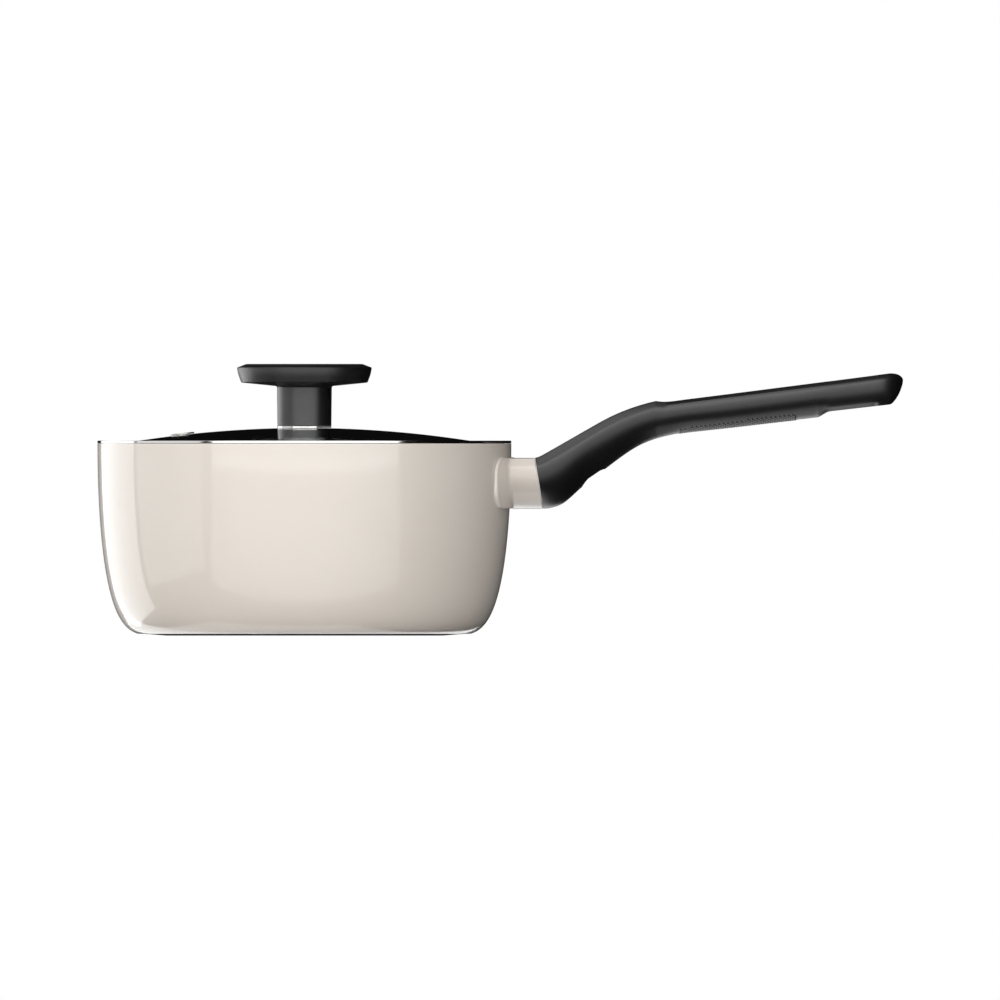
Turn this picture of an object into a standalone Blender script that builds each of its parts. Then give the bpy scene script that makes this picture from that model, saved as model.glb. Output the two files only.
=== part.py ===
"""Saucepan with a glass lid, at real size, in metres with +Z up.

The pan stands on z = 0 with its axis on the Z axis, and its handle points along +X.
The lid's pieces share that axis and lift straight up off the rim.
"""

import math

import bmesh
import bpy
from mathutils import Matrix, Vector

# Room left between pieces that touch.
GAP = 0.0003

# Vessel: its outside is one superellipse from the rim down to the foot.
RIM_RADIUS = 0.092
RIM_TOP = 0.0854
RIM_ROUNDING = 0.0006
FOOT_RADIUS = 0.062
DRAW_POWER = 2.1
FULLNESS_POWER = 4.25
RIM_WALL = 0.0024
INNER_FOOT_RADIUS = 0.060
FLOOR_TOP = 0.0048
ROUND_STEPS = 60

# Steel disc under the vessel.
DISC_RADIUS = 0.073
DISC_FLAT_RADIUS = 0.0615
DISC_EDGE_HEIGHT = 0.00095
DISC_TOP = 0.0016
FOOT_LIP_WIDTH = 0.0006

# Saddle and neck that carry the handle.
SADDLE_RADIUS = 0.0929
SADDLE_HALF_WIDTH = 0.0355
SADDLE_CORNER = 0.0045
NECK_TOP = 0.0790
NECK_BOTTOM = 0.0564
NECK_HALF_WIDTH = 0.0215
NECK_END_TOP_X = 0.1022
NECK_END_BOTTOM_X = 0.1059
CHAMFER_IN = 0.0032
NECK_CHAMFER_DROP = 0.0031
NECK_BELLY_SHARE = 0.20
NECK_UNDERSIDE_POWER = 2.0

# Tang that runs up inside the handle, and the screw that crosses it.
TANG_ROOT = Vector((0.1042, 0.0, 0.0669))
TANG_SLOPE = math.radians(34.2)
TANG_LENGTH = 0.030
TANG_HALF_WIDTH = 0.0110
TANG_HALF_THICKNESS = 0.0040
SCREW_ALONG_TANG = 0.0220
SCREW_RADIUS = 0.0022
SCREW_HEAD_RADIUS = 0.0050
COUNTERBORE_RADIUS = 0.0065
COUNTERBORE_FLOOR = -0.0073

# Rivets.
RIVET_HEIGHT = 0.0675
RIVET_TURN = math.radians(7.3)
RIVET_HEAD_RADIUS = 0.0050
RIVET_HEAD_FACE = 0.0888
RIVET_RADIUS = 0.0025
RIVET_END = 0.0980

# Handle: knots are (x, height or width, slope) of smooth curves along it.
HANDLE_END = 0.2662
TOP_LINE = (
    (0.1025, 0.0791, 0.10),
    (0.1067, 0.0808, 0.56),
    (0.1316, 0.0950, 0.56),
    (0.1561, 0.1043, 0.23),
    (0.1564, 0.1043, -0.10),
    (0.1597, 0.1040, 0.00),
    (0.1694, 0.1050, 0.125),
    (HANDLE_END, 0.1174, 0.130),
)
BOTTOM_LINE = (
    (0.1059, 0.0564, 0.00),
    (0.1139, 0.0582, 0.47),
    (0.1228, 0.0655, 0.86),
    (0.1343, 0.0745, 0.76),
    (0.1494, 0.0848, 0.50),
    (0.1628, 0.0892, 0.22),
    (0.1761, 0.0911, 0.105),
    (0.2028, 0.0941, 0.12),
    (0.2270, 0.0969, 0.12),
    (0.2286, 0.0972, 0.40),
    (0.2325, 0.0993, 0.40),
    (0.2355, 0.0999, 0.112),
    (HANDLE_END, 0.1034, 0.112),
)
WIDTH_LINE = (
    (0.1025, NECK_HALF_WIDTH, 0.00),
    (0.1300, 0.0172, -0.17),
    (0.1600, 0.0140, -0.04),
    (0.1950, 0.0137, 0.02),
    (0.2350, 0.0153, 0.03),
    (HANDLE_END, 0.0157, 0.00),
)
CHAMFER_DROP = (
    (0.1025, 0.0034, 0.02),
    (0.1316, 0.0040, 0.00),
    (0.1561, 0.0034, 0.00),
    (0.1628, 0.0015, 0.00),
    (HANDLE_END, 0.0018, 0.00),
)
BELLY_SHARE = (
    (0.1025, NECK_BELLY_SHARE, 0.0),
    (0.1250, 0.21, 0.0),
    (0.1600, 0.24, 0.0),
    (HANDLE_END, 0.22, 0.0),
)
UNDERSIDE_POWER = (
    (0.1025, NECK_UNDERSIDE_POWER, 0.0),
    (0.1250, 1.85, 0.0),
    (0.1600, 2.05, 0.0),
    (0.2290, 2.1, 0.0),
    (0.2350, 3.0, 0.0),
    (HANDLE_END, 3.0, 0.0),
)
STRETCHES = (
    (0.1025, 0.1075, 3),
    (0.1075, 0.1561, 12),
    (0.1561, 0.1628, 4),
    (0.1628, 0.2270, 6),
    (0.2270, 0.2355, 5),
    (0.2355, 0.2500, 3),
)
TIP_START = 0.2500
TIP_STEPS = 8
TIP_LAST_TURN = math.radians(86)
TOP_NOSE_LENGTH = 0.0067
TOP_NOSE_DROP = 0.0040
BOTTOM_NOSE_LENGTH = 0.0058
BOTTOM_NOSE_RISE = 0.0100
FRONT_LEAN = NECK_END_BOTTOM_X - NECK_END_TOP_X
FRONT_LEAN_LENGTH = 0.026

# Slot near the handle's end for hanging the pan up.
SLOT_MIDDLE = 0.2440
SLOT_LENGTH = 0.0240
SLOT_WIDTH = 0.0110

# Glass of the lid: part of a sphere.
GLASS_APEX = 0.09235
GLASS_CURVE = 0.480
GLASS_THICKNESS = 0.0040
GLASS_RADIUS = 0.0873
GLASS_HOLE = 0.0045
VENT_X = -0.0542
VENT_HOLE = 0.0031
VENT_BORE = 0.0022
VENT_FLANGE = 0.0053
VENT_ROLL = 0.0045
VENT_WASHER = 0.0055
VENT_SHEET = 0.0005

# Band round the glass.
FLANGE_TOP = 0.0867
FLANGE_THICKNESS = 0.0010
BAND_OUTER = 0.0885
BAND_SHEET = 0.0007
BAND_LIP = 0.0850
BAND_BOTTOM = 0.0786

# Knob and what clamps it.
KNOB_TOP = 0.1208
KNOB_RADIUS = 0.0300
KNOB_FLAT = 0.0258
KNOB_EDGE = 0.1192
KNOB_BULGE_RADIUS = 0.02964
KNOB_BULGE = 0.1166
KNOB_BULGE_ROUNDING = 0.0135
KNOB_LOW_RADIUS = 0.0281
KNOB_LOW = 0.1125
STEM_RADIUS = 0.0122
STEM_FOOT_RADIUS = 0.0120
STEM_TOP = 0.1109
STEM_BOTTOM = 0.0932
CORE_RADIUS = 0.0043
CORE_TOP = 0.1050
KNOB_STEPS = 40
SMALL_STEPS = 24


def clear_scene():
    for obj in list(bpy.data.objects):
        bpy.data.objects.remove(obj, do_unlink=True)


def new_collection(name):
    collection = bpy.data.collections.new(name)
    bpy.context.scene.collection.children.link(collection)
    return collection


def new_material(name, color, roughness, metallic=0.0, transmission=0.0):
    material = bpy.data.materials.new(name)
    material.use_nodes = True
    shader = material.node_tree.nodes["Principled BSDF"]
    shader.inputs["Base Color"].default_value = (*color, 1.0)
    shader.inputs["Roughness"].default_value = roughness
    shader.inputs["Metallic"].default_value = metallic
    shader.inputs["Transmission Weight"].default_value = transmission
    material.diffuse_color = (*color, 1.0)
    return material


def add_part(name, mesh, material):
    """A piece of the object, shaded smooth except along its edges."""
    mesh.shade_smooth()
    mesh.set_sharp_from_angle(angle=math.radians(35))
    mesh.materials.append(material)
    obj = bpy.data.objects.new(name, mesh)
    parts.objects.link(obj)
    return obj


def add_cutter(name, mesh):
    obj = bpy.data.objects.new(name, mesh)
    obj.hide_render = True
    obj.display_type = "WIRE"
    cutters.objects.link(obj)
    return obj


def boolean(obj, other, operation="DIFFERENCE"):
    modifier = obj.modifiers.new(other.name, "BOOLEAN")
    modifier.operation = operation
    modifier.object = other


def rounded(corners, closed=True, steps=3):
    """Polyline through corners (r, z) or (r, z, rounding), each rounding drawn as an arc."""
    line = []
    for index, corner in enumerate(corners):
        point = Vector(corner[:2])
        radius = corner[2] if len(corner) > 2 else 0.0
        at_end = not closed and index in (0, len(corners) - 1)
        if radius == 0.0 or at_end:
            line.append(point)
            continue
        back = (Vector(corners[index - 1][:2]) - point).normalized()
        ahead = (Vector(corners[(index + 1) % len(corners)][:2]) - point).normalized()
        half = back.angle(ahead) / 2
        reach = radius / math.tan(half)
        middle = point + (back + ahead).normalized() * (radius / math.sin(half))
        start = point + back * reach - middle
        sweep = (point + ahead * reach - middle).angle_signed(start)
        for step in range(steps + 1):
            turn = Matrix.Rotation(sweep * step / steps, 2)
            line.append(middle + turn @ start)
    return line


def turned_mesh(name, profile, closed):
    points = [(point[0], 0.0, point[1]) for point in profile]
    edges = [(index, index + 1) for index in range(len(points) - 1)]
    if closed:
        edges.append((len(points) - 1, 0))
    mesh = bpy.data.meshes.new(name)
    mesh.from_pydata(points, edges, [])
    return mesh


def turn(obj, steps):
    """Turns the object's profile about its own Z axis."""
    screw = obj.modifiers.new("turning", "SCREW")
    screw.steps = steps
    screw.render_steps = steps
    screw.use_merge_vertices = True
    screw.merge_threshold = 0.00001
    screw.use_smooth_shade = True


def turned_part(name, profile, material, closed=True, steps=SMALL_STEPS):
    obj = add_part(name, turned_mesh(name, profile, closed), material)
    turn(obj, steps)
    return obj


def turned_cutter(name, profile, closed=False, steps=SMALL_STEPS):
    obj = add_cutter(name, turned_mesh(name, profile, closed))
    turn(obj, steps)
    return obj


def rod_profile(radius, low, high):
    return [(0.0, high), (radius, high), (radius, low), (0.0, low)]


def ring_profile(inner, outer, low, high, rounding=0.0):
    corners = [(inner, high, rounding), (outer, high, rounding)]
    corners += [(outer, low, rounding), (inner, low, rounding)]
    return rounded(corners, steps=2)


def lofted_mesh(name, rings):
    """Closed skin over rings of equally many points, with a flat cap on each end."""
    mesh = bpy.data.meshes.new(name)
    build = bmesh.new()
    rows = [[build.verts.new(point) for point in ring] for ring in rings]
    for row, following in zip(rows, rows[1:]):
        for index in range(len(row)):
            beside = (index + 1) % len(row)
            build.faces.new((row[index], following[index], following[beside], row[beside]))
    build.faces.new(rows[0])
    build.faces.new(reversed(rows[-1]))
    bmesh.ops.recalc_face_normals(build, faces=build.faces)
    build.to_mesh(mesh)
    build.free()
    return mesh


def block_mesh(name, low, high):
    mesh = bpy.data.meshes.new(name)
    build = bmesh.new()
    bmesh.ops.create_cube(build, size=1.0)
    size = Vector(high) - Vector(low)
    middle = (Vector(high) + Vector(low)) / 2
    bmesh.ops.scale(build, vec=size, verts=build.verts)
    bmesh.ops.translate(build, vec=middle, verts=build.verts)
    build.to_mesh(mesh)
    build.free()
    return mesh


def spline(knots, x):
    """Value at x of the smooth curve through knots (x, value, slope)."""
    for start, end in zip(knots, knots[1:]):
        if x <= end[0]:
            break
    span = end[0] - start[0]
    t = (x - start[0]) / span
    rise = t * t * (3 - 2 * t)
    from_start = t * (1 - t) ** 2 * span * start[2]
    to_end = t * t * (t - 1) * span * end[2]
    return start[1] + (end[1] - start[1]) * rise + from_start + to_end


def vessel_curve(rim_radius, foot_radius, foot_height, last_turn, steps):
    """Superellipse from the rim down and in to the foot, as (r, z) points."""
    points = []
    for step in range(steps + 1):
        angle = last_turn * step / steps
        reach = math.cos(angle) ** (2 / FULLNESS_POWER)
        depth = math.sin(angle) ** (2 / DRAW_POWER)
        radius = foot_radius + (rim_radius - foot_radius) * reach
        points.append((radius, RIM_TOP - (RIM_TOP - foot_height) * depth))
    return points


def turn_at_radius(radius):
    """The superellipse's angle where the vessel's outside has this radius."""
    reach = (radius - FOOT_RADIUS) / (RIM_RADIUS - FOOT_RADIUS)
    return math.acos(reach ** (FULLNESS_POWER / 2))


def vessel_outside():
    lip_radius = DISC_RADIUS + GAP + FOOT_LIP_WIDTH
    return vessel_curve(RIM_RADIUS, FOOT_RADIUS, 0.0, turn_at_radius(lip_radius), 14)


def make_pan_body(material):
    """Pressed vessel, with a shallow recess underneath for the steel disc."""
    inner_radius = RIM_RADIUS - RIM_WALL
    inside = vessel_curve(inner_radius, INNER_FOOT_RADIUS, FLOOR_TOP, math.radians(89), 12)
    outside = vessel_outside()
    lip_height = outside[-1][1]
    profile = [(0.0, FLOOR_TOP)]
    profile += reversed(inside[1:])
    profile += [(inner_radius, RIM_TOP - RIM_ROUNDING)]
    profile += [(inner_radius + RIM_ROUNDING, RIM_TOP)]
    profile += [(RIM_RADIUS - RIM_ROUNDING, RIM_TOP)]
    profile += [(RIM_RADIUS, RIM_TOP - RIM_ROUNDING)]
    profile += outside[1:]
    profile += [(DISC_RADIUS + GAP, lip_height)]
    profile += [(DISC_RADIUS + GAP, DISC_TOP + GAP)]
    profile += [(0.0, DISC_TOP + GAP)]
    body = turned_part("pan_body", profile, material, closed=False, steps=ROUND_STEPS)
    for side, turn_z in (("left", RIVET_TURN), ("right", -RIVET_TURN)):
        hole = rod_profile(RIVET_RADIUS + GAP, 0.080, 0.099)
        cutter = turned_cutter("wall_hole_" + side, hole)
        place_radially(cutter, turn_z)
        boolean(body, cutter)


def make_base_plate(material):
    profile = [(0.0, DISC_TOP)]
    profile += [(DISC_RADIUS, DISC_TOP)]
    profile += [(DISC_RADIUS, DISC_EDGE_HEIGHT)]
    profile += [(DISC_FLAT_RADIUS, 0.0)]
    profile += [(0.0, 0.0)]
    turned_part("base_plate", profile, material, closed=False, steps=ROUND_STEPS)


def place_radially(obj, turn_z):
    """Points the object's own Z axis outwards from the pan's axis, at the rivets' height."""
    obj.location = (0.0, 0.0, RIVET_HEIGHT)
    obj.rotation_euler = (0.0, math.radians(90), turn_z)


def make_rivet(side, turn_z, material):
    corners = [(0.0, RIVET_END), (RIVET_RADIUS, RIVET_END, 0.0004)]
    corners += [(RIVET_RADIUS, RIVET_HEAD_FACE)]
    corners += [(RIVET_HEAD_RADIUS, RIVET_HEAD_FACE)]
    corners += [(RIVET_HEAD_RADIUS, RIVET_HEAD_FACE - 0.0006)]
    corners += [(RIVET_HEAD_RADIUS * 0.7, RIVET_HEAD_FACE - 0.0013)]
    corners += [(0.0, RIVET_HEAD_FACE - 0.0016)]
    profile = rounded(corners, closed=False, steps=2)
    rivet = turned_part("rivet_" + side, profile, material, closed=False)
    place_radially(rivet, turn_z)


def cross_section(top, bottom, side_half, top_half, chamfer_share, belly_share, power):
    """Ring of points between a top and a bottom point: flat top, chamfers, sides, rounded underside."""
    half = [(top_half, 0.0)]
    upright = side_half * 0.965
    half.append((upright, chamfer_share))
    middle_share = (chamfer_share + belly_share) / 2
    half.append((side_half * 0.992, middle_share))
    steps = 8
    for step in range(steps):
        angle = math.radians(90) * step / steps
        out = side_half * math.cos(angle) ** (2 / power)
        share = belly_share + (1 - belly_share) * math.sin(angle) ** (2 / power)
        half.append((out, share))
    ring = [(out, share) for out, share in half]
    ring.append((0.0, 1.0))
    ring += [(-out, share) for out, share in reversed(half)]
    return [top.lerp(bottom, share) + Vector((0.0, out, 0.0)) for out, share in ring]


def neck_ring(top, bottom, side):
    chamfer_share = NECK_CHAMFER_DROP / (NECK_TOP - NECK_BOTTOM)
    shape = (chamfer_share, NECK_BELLY_SHARE, NECK_UNDERSIDE_POWER)
    return cross_section(top, bottom, side, side - CHAMFER_IN, *shape)


def make_neck_mesh():
    """Straight neck from inside the vessel's wall out to the slanted joint with the handle."""
    rings = []
    flare = ((0.0860, 0.0020), (0.0912, 0.0018), (0.0922, 0.0007), (0.0940, 0.0))
    for x, extra in flare:
        top = Vector((x, 0.0, NECK_TOP))
        bottom = Vector((x, 0.0, NECK_BOTTOM))
        rings.append(neck_ring(top, bottom, NECK_HALF_WIDTH + extra))
    top = Vector((NECK_END_TOP_X, 0.0, NECK_TOP))
    bottom = Vector((NECK_END_BOTTOM_X, 0.0, NECK_BOTTOM))
    rings.append(neck_ring(top, bottom, NECK_HALF_WIDTH))
    return lofted_mesh("handle_mount", rings)


def saddle_outline(x):
    """Rounded rectangle across the X axis, a little taller than the neck."""
    low = NECK_BOTTOM + 0.0001
    high = NECK_TOP + 0.0003
    width = SADDLE_HALF_WIDTH
    corners = [(width, high, SADDLE_CORNER), (width, low, SADDLE_CORNER)]
    corners += [(-width, low, SADDLE_CORNER), (-width, high, SADDLE_CORNER)]
    return [Vector((x, point.x, point.y)) for point in rounded(corners, steps=4)]


def place_on_tang(obj, along):
    """Moves a piece made at the origin onto the tang's middle line, turned to its slope."""
    direction = Vector((math.cos(TANG_SLOPE), 0.0, math.sin(TANG_SLOPE)))
    obj.location = TANG_ROOT + direction * along
    obj.rotation_euler = (0.0, -TANG_SLOPE, 0.0)


def tang_mesh(name, start, end, extra):
    wide = TANG_HALF_WIDTH + extra
    thick = TANG_HALF_THICKNESS + extra
    return block_mesh(name, (start, -wide, -thick), (end + extra, wide, thick))


def make_handle_mount(material):
    """Cast saddle, neck and tang in one piece, hollowed to fit the vessel's wall."""
    mount = add_part("handle_mount", make_neck_mesh(), material)
    saddle = add_cutter("saddle", lofted_mesh("saddle", [saddle_outline(0.070), saddle_outline(0.098)]))
    drum = turned_cutter("saddle_drum", rod_profile(SADDLE_RADIUS, 0.050, 0.086), steps=ROUND_STEPS)
    boolean(saddle, drum, "INTERSECT")
    boolean(mount, saddle, "UNION")
    tang = add_cutter("tang", tang_mesh("tang", -0.008, TANG_LENGTH, 0.0))
    place_on_tang(tang, 0.0)
    boolean(mount, tang, "UNION")
    outside = vessel_outside()[1:]
    profile = [(0.0, RIM_TOP), (RIM_RADIUS + GAP, RIM_TOP)]
    profile += [(radius + GAP, height) for radius, height in outside]
    profile += [(0.0, outside[-1][1])]
    boolean(mount, turned_cutter("vessel_room", profile, steps=ROUND_STEPS))
    for side, turn_z in (("left", RIVET_TURN), ("right", -RIVET_TURN)):
        hole = rod_profile(RIVET_RADIUS + GAP, 0.088, RIVET_END + GAP)
        cutter = turned_cutter("saddle_hole_" + side, hole)
        place_radially(cutter, turn_z)
        boolean(mount, cutter)
    bore = rod_profile(SCREW_RADIUS + GAP, -2 * TANG_HALF_THICKNESS, 0.0026)
    thread = turned_cutter("tang_bore", bore)
    place_on_tang(thread, SCREW_ALONG_TANG)
    boolean(mount, thread)


def make_handle_screw(screw_material, washer_material):
    washer_top = COUNTERBORE_FLOOR - GAP
    washer_bottom = washer_top - 0.0008
    head_top = washer_bottom - GAP
    washer = ring_profile(SCREW_RADIUS + 0.0004, SCREW_HEAD_RADIUS + 0.0004, washer_bottom, washer_top)
    place_on_tang(turned_part("handle_screw_washer", washer, washer_material), SCREW_ALONG_TANG)
    corners = [(0.0, 0.0022), (SCREW_RADIUS, 0.0022, 0.0004)]
    corners += [(SCREW_RADIUS, head_top)]
    corners += [(SCREW_HEAD_RADIUS, head_top)]
    corners += [(SCREW_HEAD_RADIUS, head_top - 0.0018, 0.0009)]
    corners += [(0.0, head_top - 0.0018)]
    profile = rounded(corners, closed=False)
    screw = turned_part("handle_screw", profile, screw_material, closed=False)
    place_on_tang(screw, SCREW_ALONG_TANG)
    for index in range(2):
        across = (0.0028, 0.0005) if index == 0 else (0.0005, 0.0028)
        low = (-across[0], -across[1], head_top - 0.0030)
        high = (across[0], across[1], head_top - 0.0007)
        slot = add_cutter(f"drive_slot_{index}", block_mesh("drive_slot", low, high))
        place_on_tang(slot, SCREW_ALONG_TANG)
        boolean(screw, slot)


def handle_stations():
    """Places along the handle, closer together where its outline bends."""
    places = []
    for start, end, count in STRETCHES:
        places += [start + (end - start) * step / count for step in range(count)]
    reach = HANDLE_END - TIP_START
    for step in range(TIP_STEPS + 1):
        places.append(TIP_START + reach * math.sin(TIP_LAST_TURN * step / TIP_STEPS))
    return places


def nose(x, length, depth, power):
    """How far an outline has turned in, over the last length before the handle's end."""
    share = max(0.0, (x - HANDLE_END + length) / length)
    return depth * (1 - (1 - share**power) ** (1 / power))


def handle_ring(x):
    forward = 1 - min(1.0, (x - STRETCHES[0][0]) / FRONT_LEAN_LENGTH)
    low_x = x + FRONT_LEAN * forward * forward
    high = spline(TOP_LINE, x) - nose(x, TOP_NOSE_LENGTH, TOP_NOSE_DROP, 2.0)
    low = spline(BOTTOM_LINE, low_x) + nose(x, BOTTOM_NOSE_LENGTH, BOTTOM_NOSE_RISE, 1.5)
    thickness = high - low
    plan = 1 - nose(x, HANDLE_END - TIP_START, 1.0, 2.2)
    side = spline(WIDTH_LINE, x) * plan
    belly = spline(BELLY_SHARE, x)
    power = spline(UNDERSIDE_POWER, x)
    chamfer_drop = min(spline(CHAMFER_DROP, x), 0.6 * belly * thickness)
    top_half = side * 0.965 - min(CHAMFER_IN, 0.4 * side)
    top = Vector((x, 0.0, high))
    bottom = Vector((low_x, 0.0, low))
    return cross_section(top, bottom, side, top_half, chamfer_drop / thickness, belly, power)


def slot_mesh():
    """Round-ended upright prism through the handle."""
    mesh = bpy.data.meshes.new("hang_slot")
    build = bmesh.new()
    half_turn = Matrix.Rotation(math.radians(7.5), 4, "Z")
    radius = SLOT_WIDTH / 2
    bmesh.ops.create_cone(
        build, cap_ends=True, segments=24, radius1=radius, radius2=radius, depth=0.05, matrix=half_turn
    )
    for vert in build.verts:
        vert.co.x += math.copysign((SLOT_LENGTH - SLOT_WIDTH) / 2, vert.co.x)
    build.to_mesh(mesh)
    build.free()
    return mesh


def make_handle(material):
    """Moulded grip, lofted through its cross-sections, with its socket, counterbore and slot cut."""
    rings = [handle_ring(x) for x in handle_stations()]
    handle = add_part("handle", lofted_mesh("handle", rings), material)
    socket = add_cutter("tang_socket", tang_mesh("tang_socket", -0.012, TANG_LENGTH, GAP))
    place_on_tang(socket, 0.0)
    boolean(handle, socket)
    hole_radius = SCREW_RADIUS + 0.0005
    corners = [(0.0, 0.0), (hole_radius, 0.0), (hole_radius, COUNTERBORE_FLOOR)]
    corners += [(COUNTERBORE_RADIUS, COUNTERBORE_FLOOR), (COUNTERBORE_RADIUS, -0.016), (0.0, -0.016)]
    counterbore = turned_cutter("counterbore", corners)
    place_on_tang(counterbore, SCREW_ALONG_TANG)
    boolean(handle, counterbore)
    slot = add_cutter("hang_slot", slot_mesh())
    slot.location = (SLOT_MIDDLE, 0.0, 0.108)
    boolean(handle, slot)


def glass_height(radius, below=0.0):
    """Height of the dome at this radius, on its top or a given depth below it."""
    sphere = GLASS_CURVE - below
    return GLASS_APEX - GLASS_CURVE + math.sqrt(sphere**2 - radius**2)


def make_lid_glass(material):
    radii = [GLASS_HOLE + (GLASS_RADIUS - 0.001 - GLASS_HOLE) * step / 6 for step in range(7)]
    profile = [(radius, glass_height(radius)) for radius in radii]
    edge_middle = glass_height(GLASS_RADIUS, GLASS_THICKNESS / 2)
    profile += [(GLASS_RADIUS, edge_middle + 0.0011), (GLASS_RADIUS, edge_middle - 0.0011)]
    profile += [(radius, glass_height(radius, GLASS_THICKNESS)) for radius in reversed(radii)]
    glass = turned_part("lid_glass", profile, material, steps=ROUND_STEPS)
    cutter = turned_cutter("vent_hole", rod_profile(VENT_HOLE, -0.006, 0.002))
    place_on_vent(cutter)
    boolean(glass, cutter)


def place_on_vent(obj):
    """Stands a piece on the dome at the vent, square to the glass."""
    obj.location = (VENT_X, 0.0, glass_height(abs(VENT_X)))
    obj.rotation_euler = (0.0, math.asin(VENT_X / GLASS_CURVE), 0.0)


def make_vent(material):
    """Eyelet with its flange on the glass and its other end rolled over a washer underneath."""
    under = -GLASS_THICKNESS - GAP
    washer = ring_profile(VENT_BORE + VENT_SHEET + GAP, VENT_WASHER, under - VENT_SHEET, under)
    place_on_vent(turned_part("vent_washer", washer, material))
    top = GAP + VENT_SHEET
    roll_top = under - VENT_SHEET - GAP
    roll_low = roll_top - VENT_SHEET
    corners = [(VENT_BORE, top, 0.0002), (VENT_FLANGE, top, 0.0002)]
    corners += [(VENT_FLANGE, GAP), (VENT_BORE + VENT_SHEET, GAP), (VENT_BORE + VENT_SHEET, roll_top)]
    corners += [(VENT_ROLL, roll_top), (VENT_ROLL, roll_low, 0.0002), (VENT_BORE, roll_low, 0.0002)]
    place_on_vent(turned_part("vent_eyelet", rounded(corners, steps=1), material))


def make_lid_rim(material):
    """Sheet band: a lip over the glass, a flange on the pan's rim, a skirt and a lip under the glass."""
    flange_bottom = FLANGE_TOP - FLANGE_THICKNESS
    over = glass_height(BAND_LIP) + GAP
    edge = GLASS_RADIUS + GAP
    edge_over = glass_height(edge) + GAP
    under = glass_height(BAND_LIP, GLASS_THICKNESS) - GAP
    corners = [(BAND_LIP, over + BAND_SHEET), (BAND_OUTER + 0.0003, FLANGE_TOP, 0.001)]
    corners += [(RIM_RADIUS, FLANGE_TOP, 0.0004), (RIM_RADIUS, flange_bottom, 0.0004)]
    corners += [(BAND_OUTER, flange_bottom, 0.0005), (BAND_OUTER, BAND_BOTTOM, 0.0005)]
    corners += [(BAND_LIP, under - BAND_SHEET), (BAND_LIP, under)]
    corners += [(edge, under - 0.0004), (edge, edge_over), (BAND_LIP, over)]
    profile = rounded(corners, steps=1)
    turned_part("lid_rim", profile, material, steps=ROUND_STEPS)


def make_knob(material):
    """Mushroom knob: flat top with a chamfer, bulging side drawn in below, stem with a core hole."""
    corners = [(0.0, KNOB_TOP), (KNOB_FLAT, KNOB_TOP, 0.0005)]
    corners += [(KNOB_RADIUS, KNOB_EDGE, 0.0003)]
    corners += [(KNOB_BULGE_RADIUS, KNOB_BULGE, KNOB_BULGE_ROUNDING)]
    corners += [(KNOB_LOW_RADIUS, KNOB_LOW, 0.0006)]
    corners += [(STEM_RADIUS, STEM_TOP, 0.0006)]
    corners += [(STEM_FOOT_RADIUS, STEM_BOTTOM, 0.0002)]
    corners += [(CORE_RADIUS, STEM_BOTTOM), (CORE_RADIUS, CORE_TOP), (0.0, CORE_TOP)]
    profile = rounded(corners, closed=False, steps=2)
    turned_part("knob", profile, material, closed=False, steps=KNOB_STEPS)


def make_knob_hardware(steel, brass, silicone):
    bottom = GLASS_APEX - GLASS_THICKNESS
    shank = SCREW_RADIUS
    bore = shank + GAP
    clear = shank + 0.0007
    insert_bottom = STEM_BOTTOM + GAP
    insert_top = CORE_TOP - GAP
    insert_radius = CORE_RADIUS - GAP
    corners = [(0.0, insert_top), (insert_radius, insert_top, 0.0004)]
    corners += [(insert_radius, insert_bottom), (bore, insert_bottom)]
    corners += [(bore, insert_top - 0.0015), (0.0, insert_top - 0.0015)]
    turned_part("knob_insert", rounded(corners, closed=False, steps=2), brass, closed=False)

    collar = ring_profile(0.0094, STEM_FOOT_RADIUS, 0.0925, STEM_BOTTOM - GAP)
    turned_part("knob_collar", collar, steel, steps=KNOB_STEPS)
    upper = ring_profile(clear, 0.0091, GLASS_APEX + GAP, STEM_BOTTOM - GAP)
    turned_part("upper_gasket", upper, silicone, steps=KNOB_STEPS)

    disc_top = bottom - GAP
    disc_bottom = disc_top - 0.0012
    sleeve = GLASS_HOLE - 0.0004
    corners = [(clear, GLASS_APEX - GAP), (sleeve, GLASS_APEX - GAP), (sleeve, disc_top)]
    corners += [(0.0090, disc_top), (0.0090, disc_bottom), (clear, disc_bottom)]
    turned_part("lower_gasket", rounded(corners), silicone, steps=KNOB_STEPS)

    washer_top = disc_bottom - GAP
    washer_bottom = washer_top - 0.0010
    washer = ring_profile(clear, 0.0100, washer_bottom, washer_top)
    turned_part("knob_washer", washer, steel, steps=KNOB_STEPS)

    head_top = washer_bottom - GAP
    head_bottom = head_top - 0.0023
    corners = [(0.0, insert_top - 0.0018), (shank, insert_top - 0.0018, 0.0004)]
    corners += [(shank, head_top), (0.0045, head_top), (0.0045, head_bottom, 0.0011)]
    corners += [(0.0, head_bottom)]
    screw = turned_part("knob_screw", rounded(corners, closed=False), steel, closed=False)
    for index in range(2):
        across = (0.0026, 0.0005) if index == 0 else (0.0005, 0.0026)
        low = (-across[0], -across[1], head_bottom - 0.0010)
        high = (across[0], across[1], head_bottom + 0.0012)
        boolean(screw, add_cutter(f"knob_drive_slot_{index}", block_mesh("knob_drive_slot", low, high)))


clear_scene()
parts = new_collection("saucepan_with_glass_lid")
cutters = new_collection("cutters")

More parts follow.
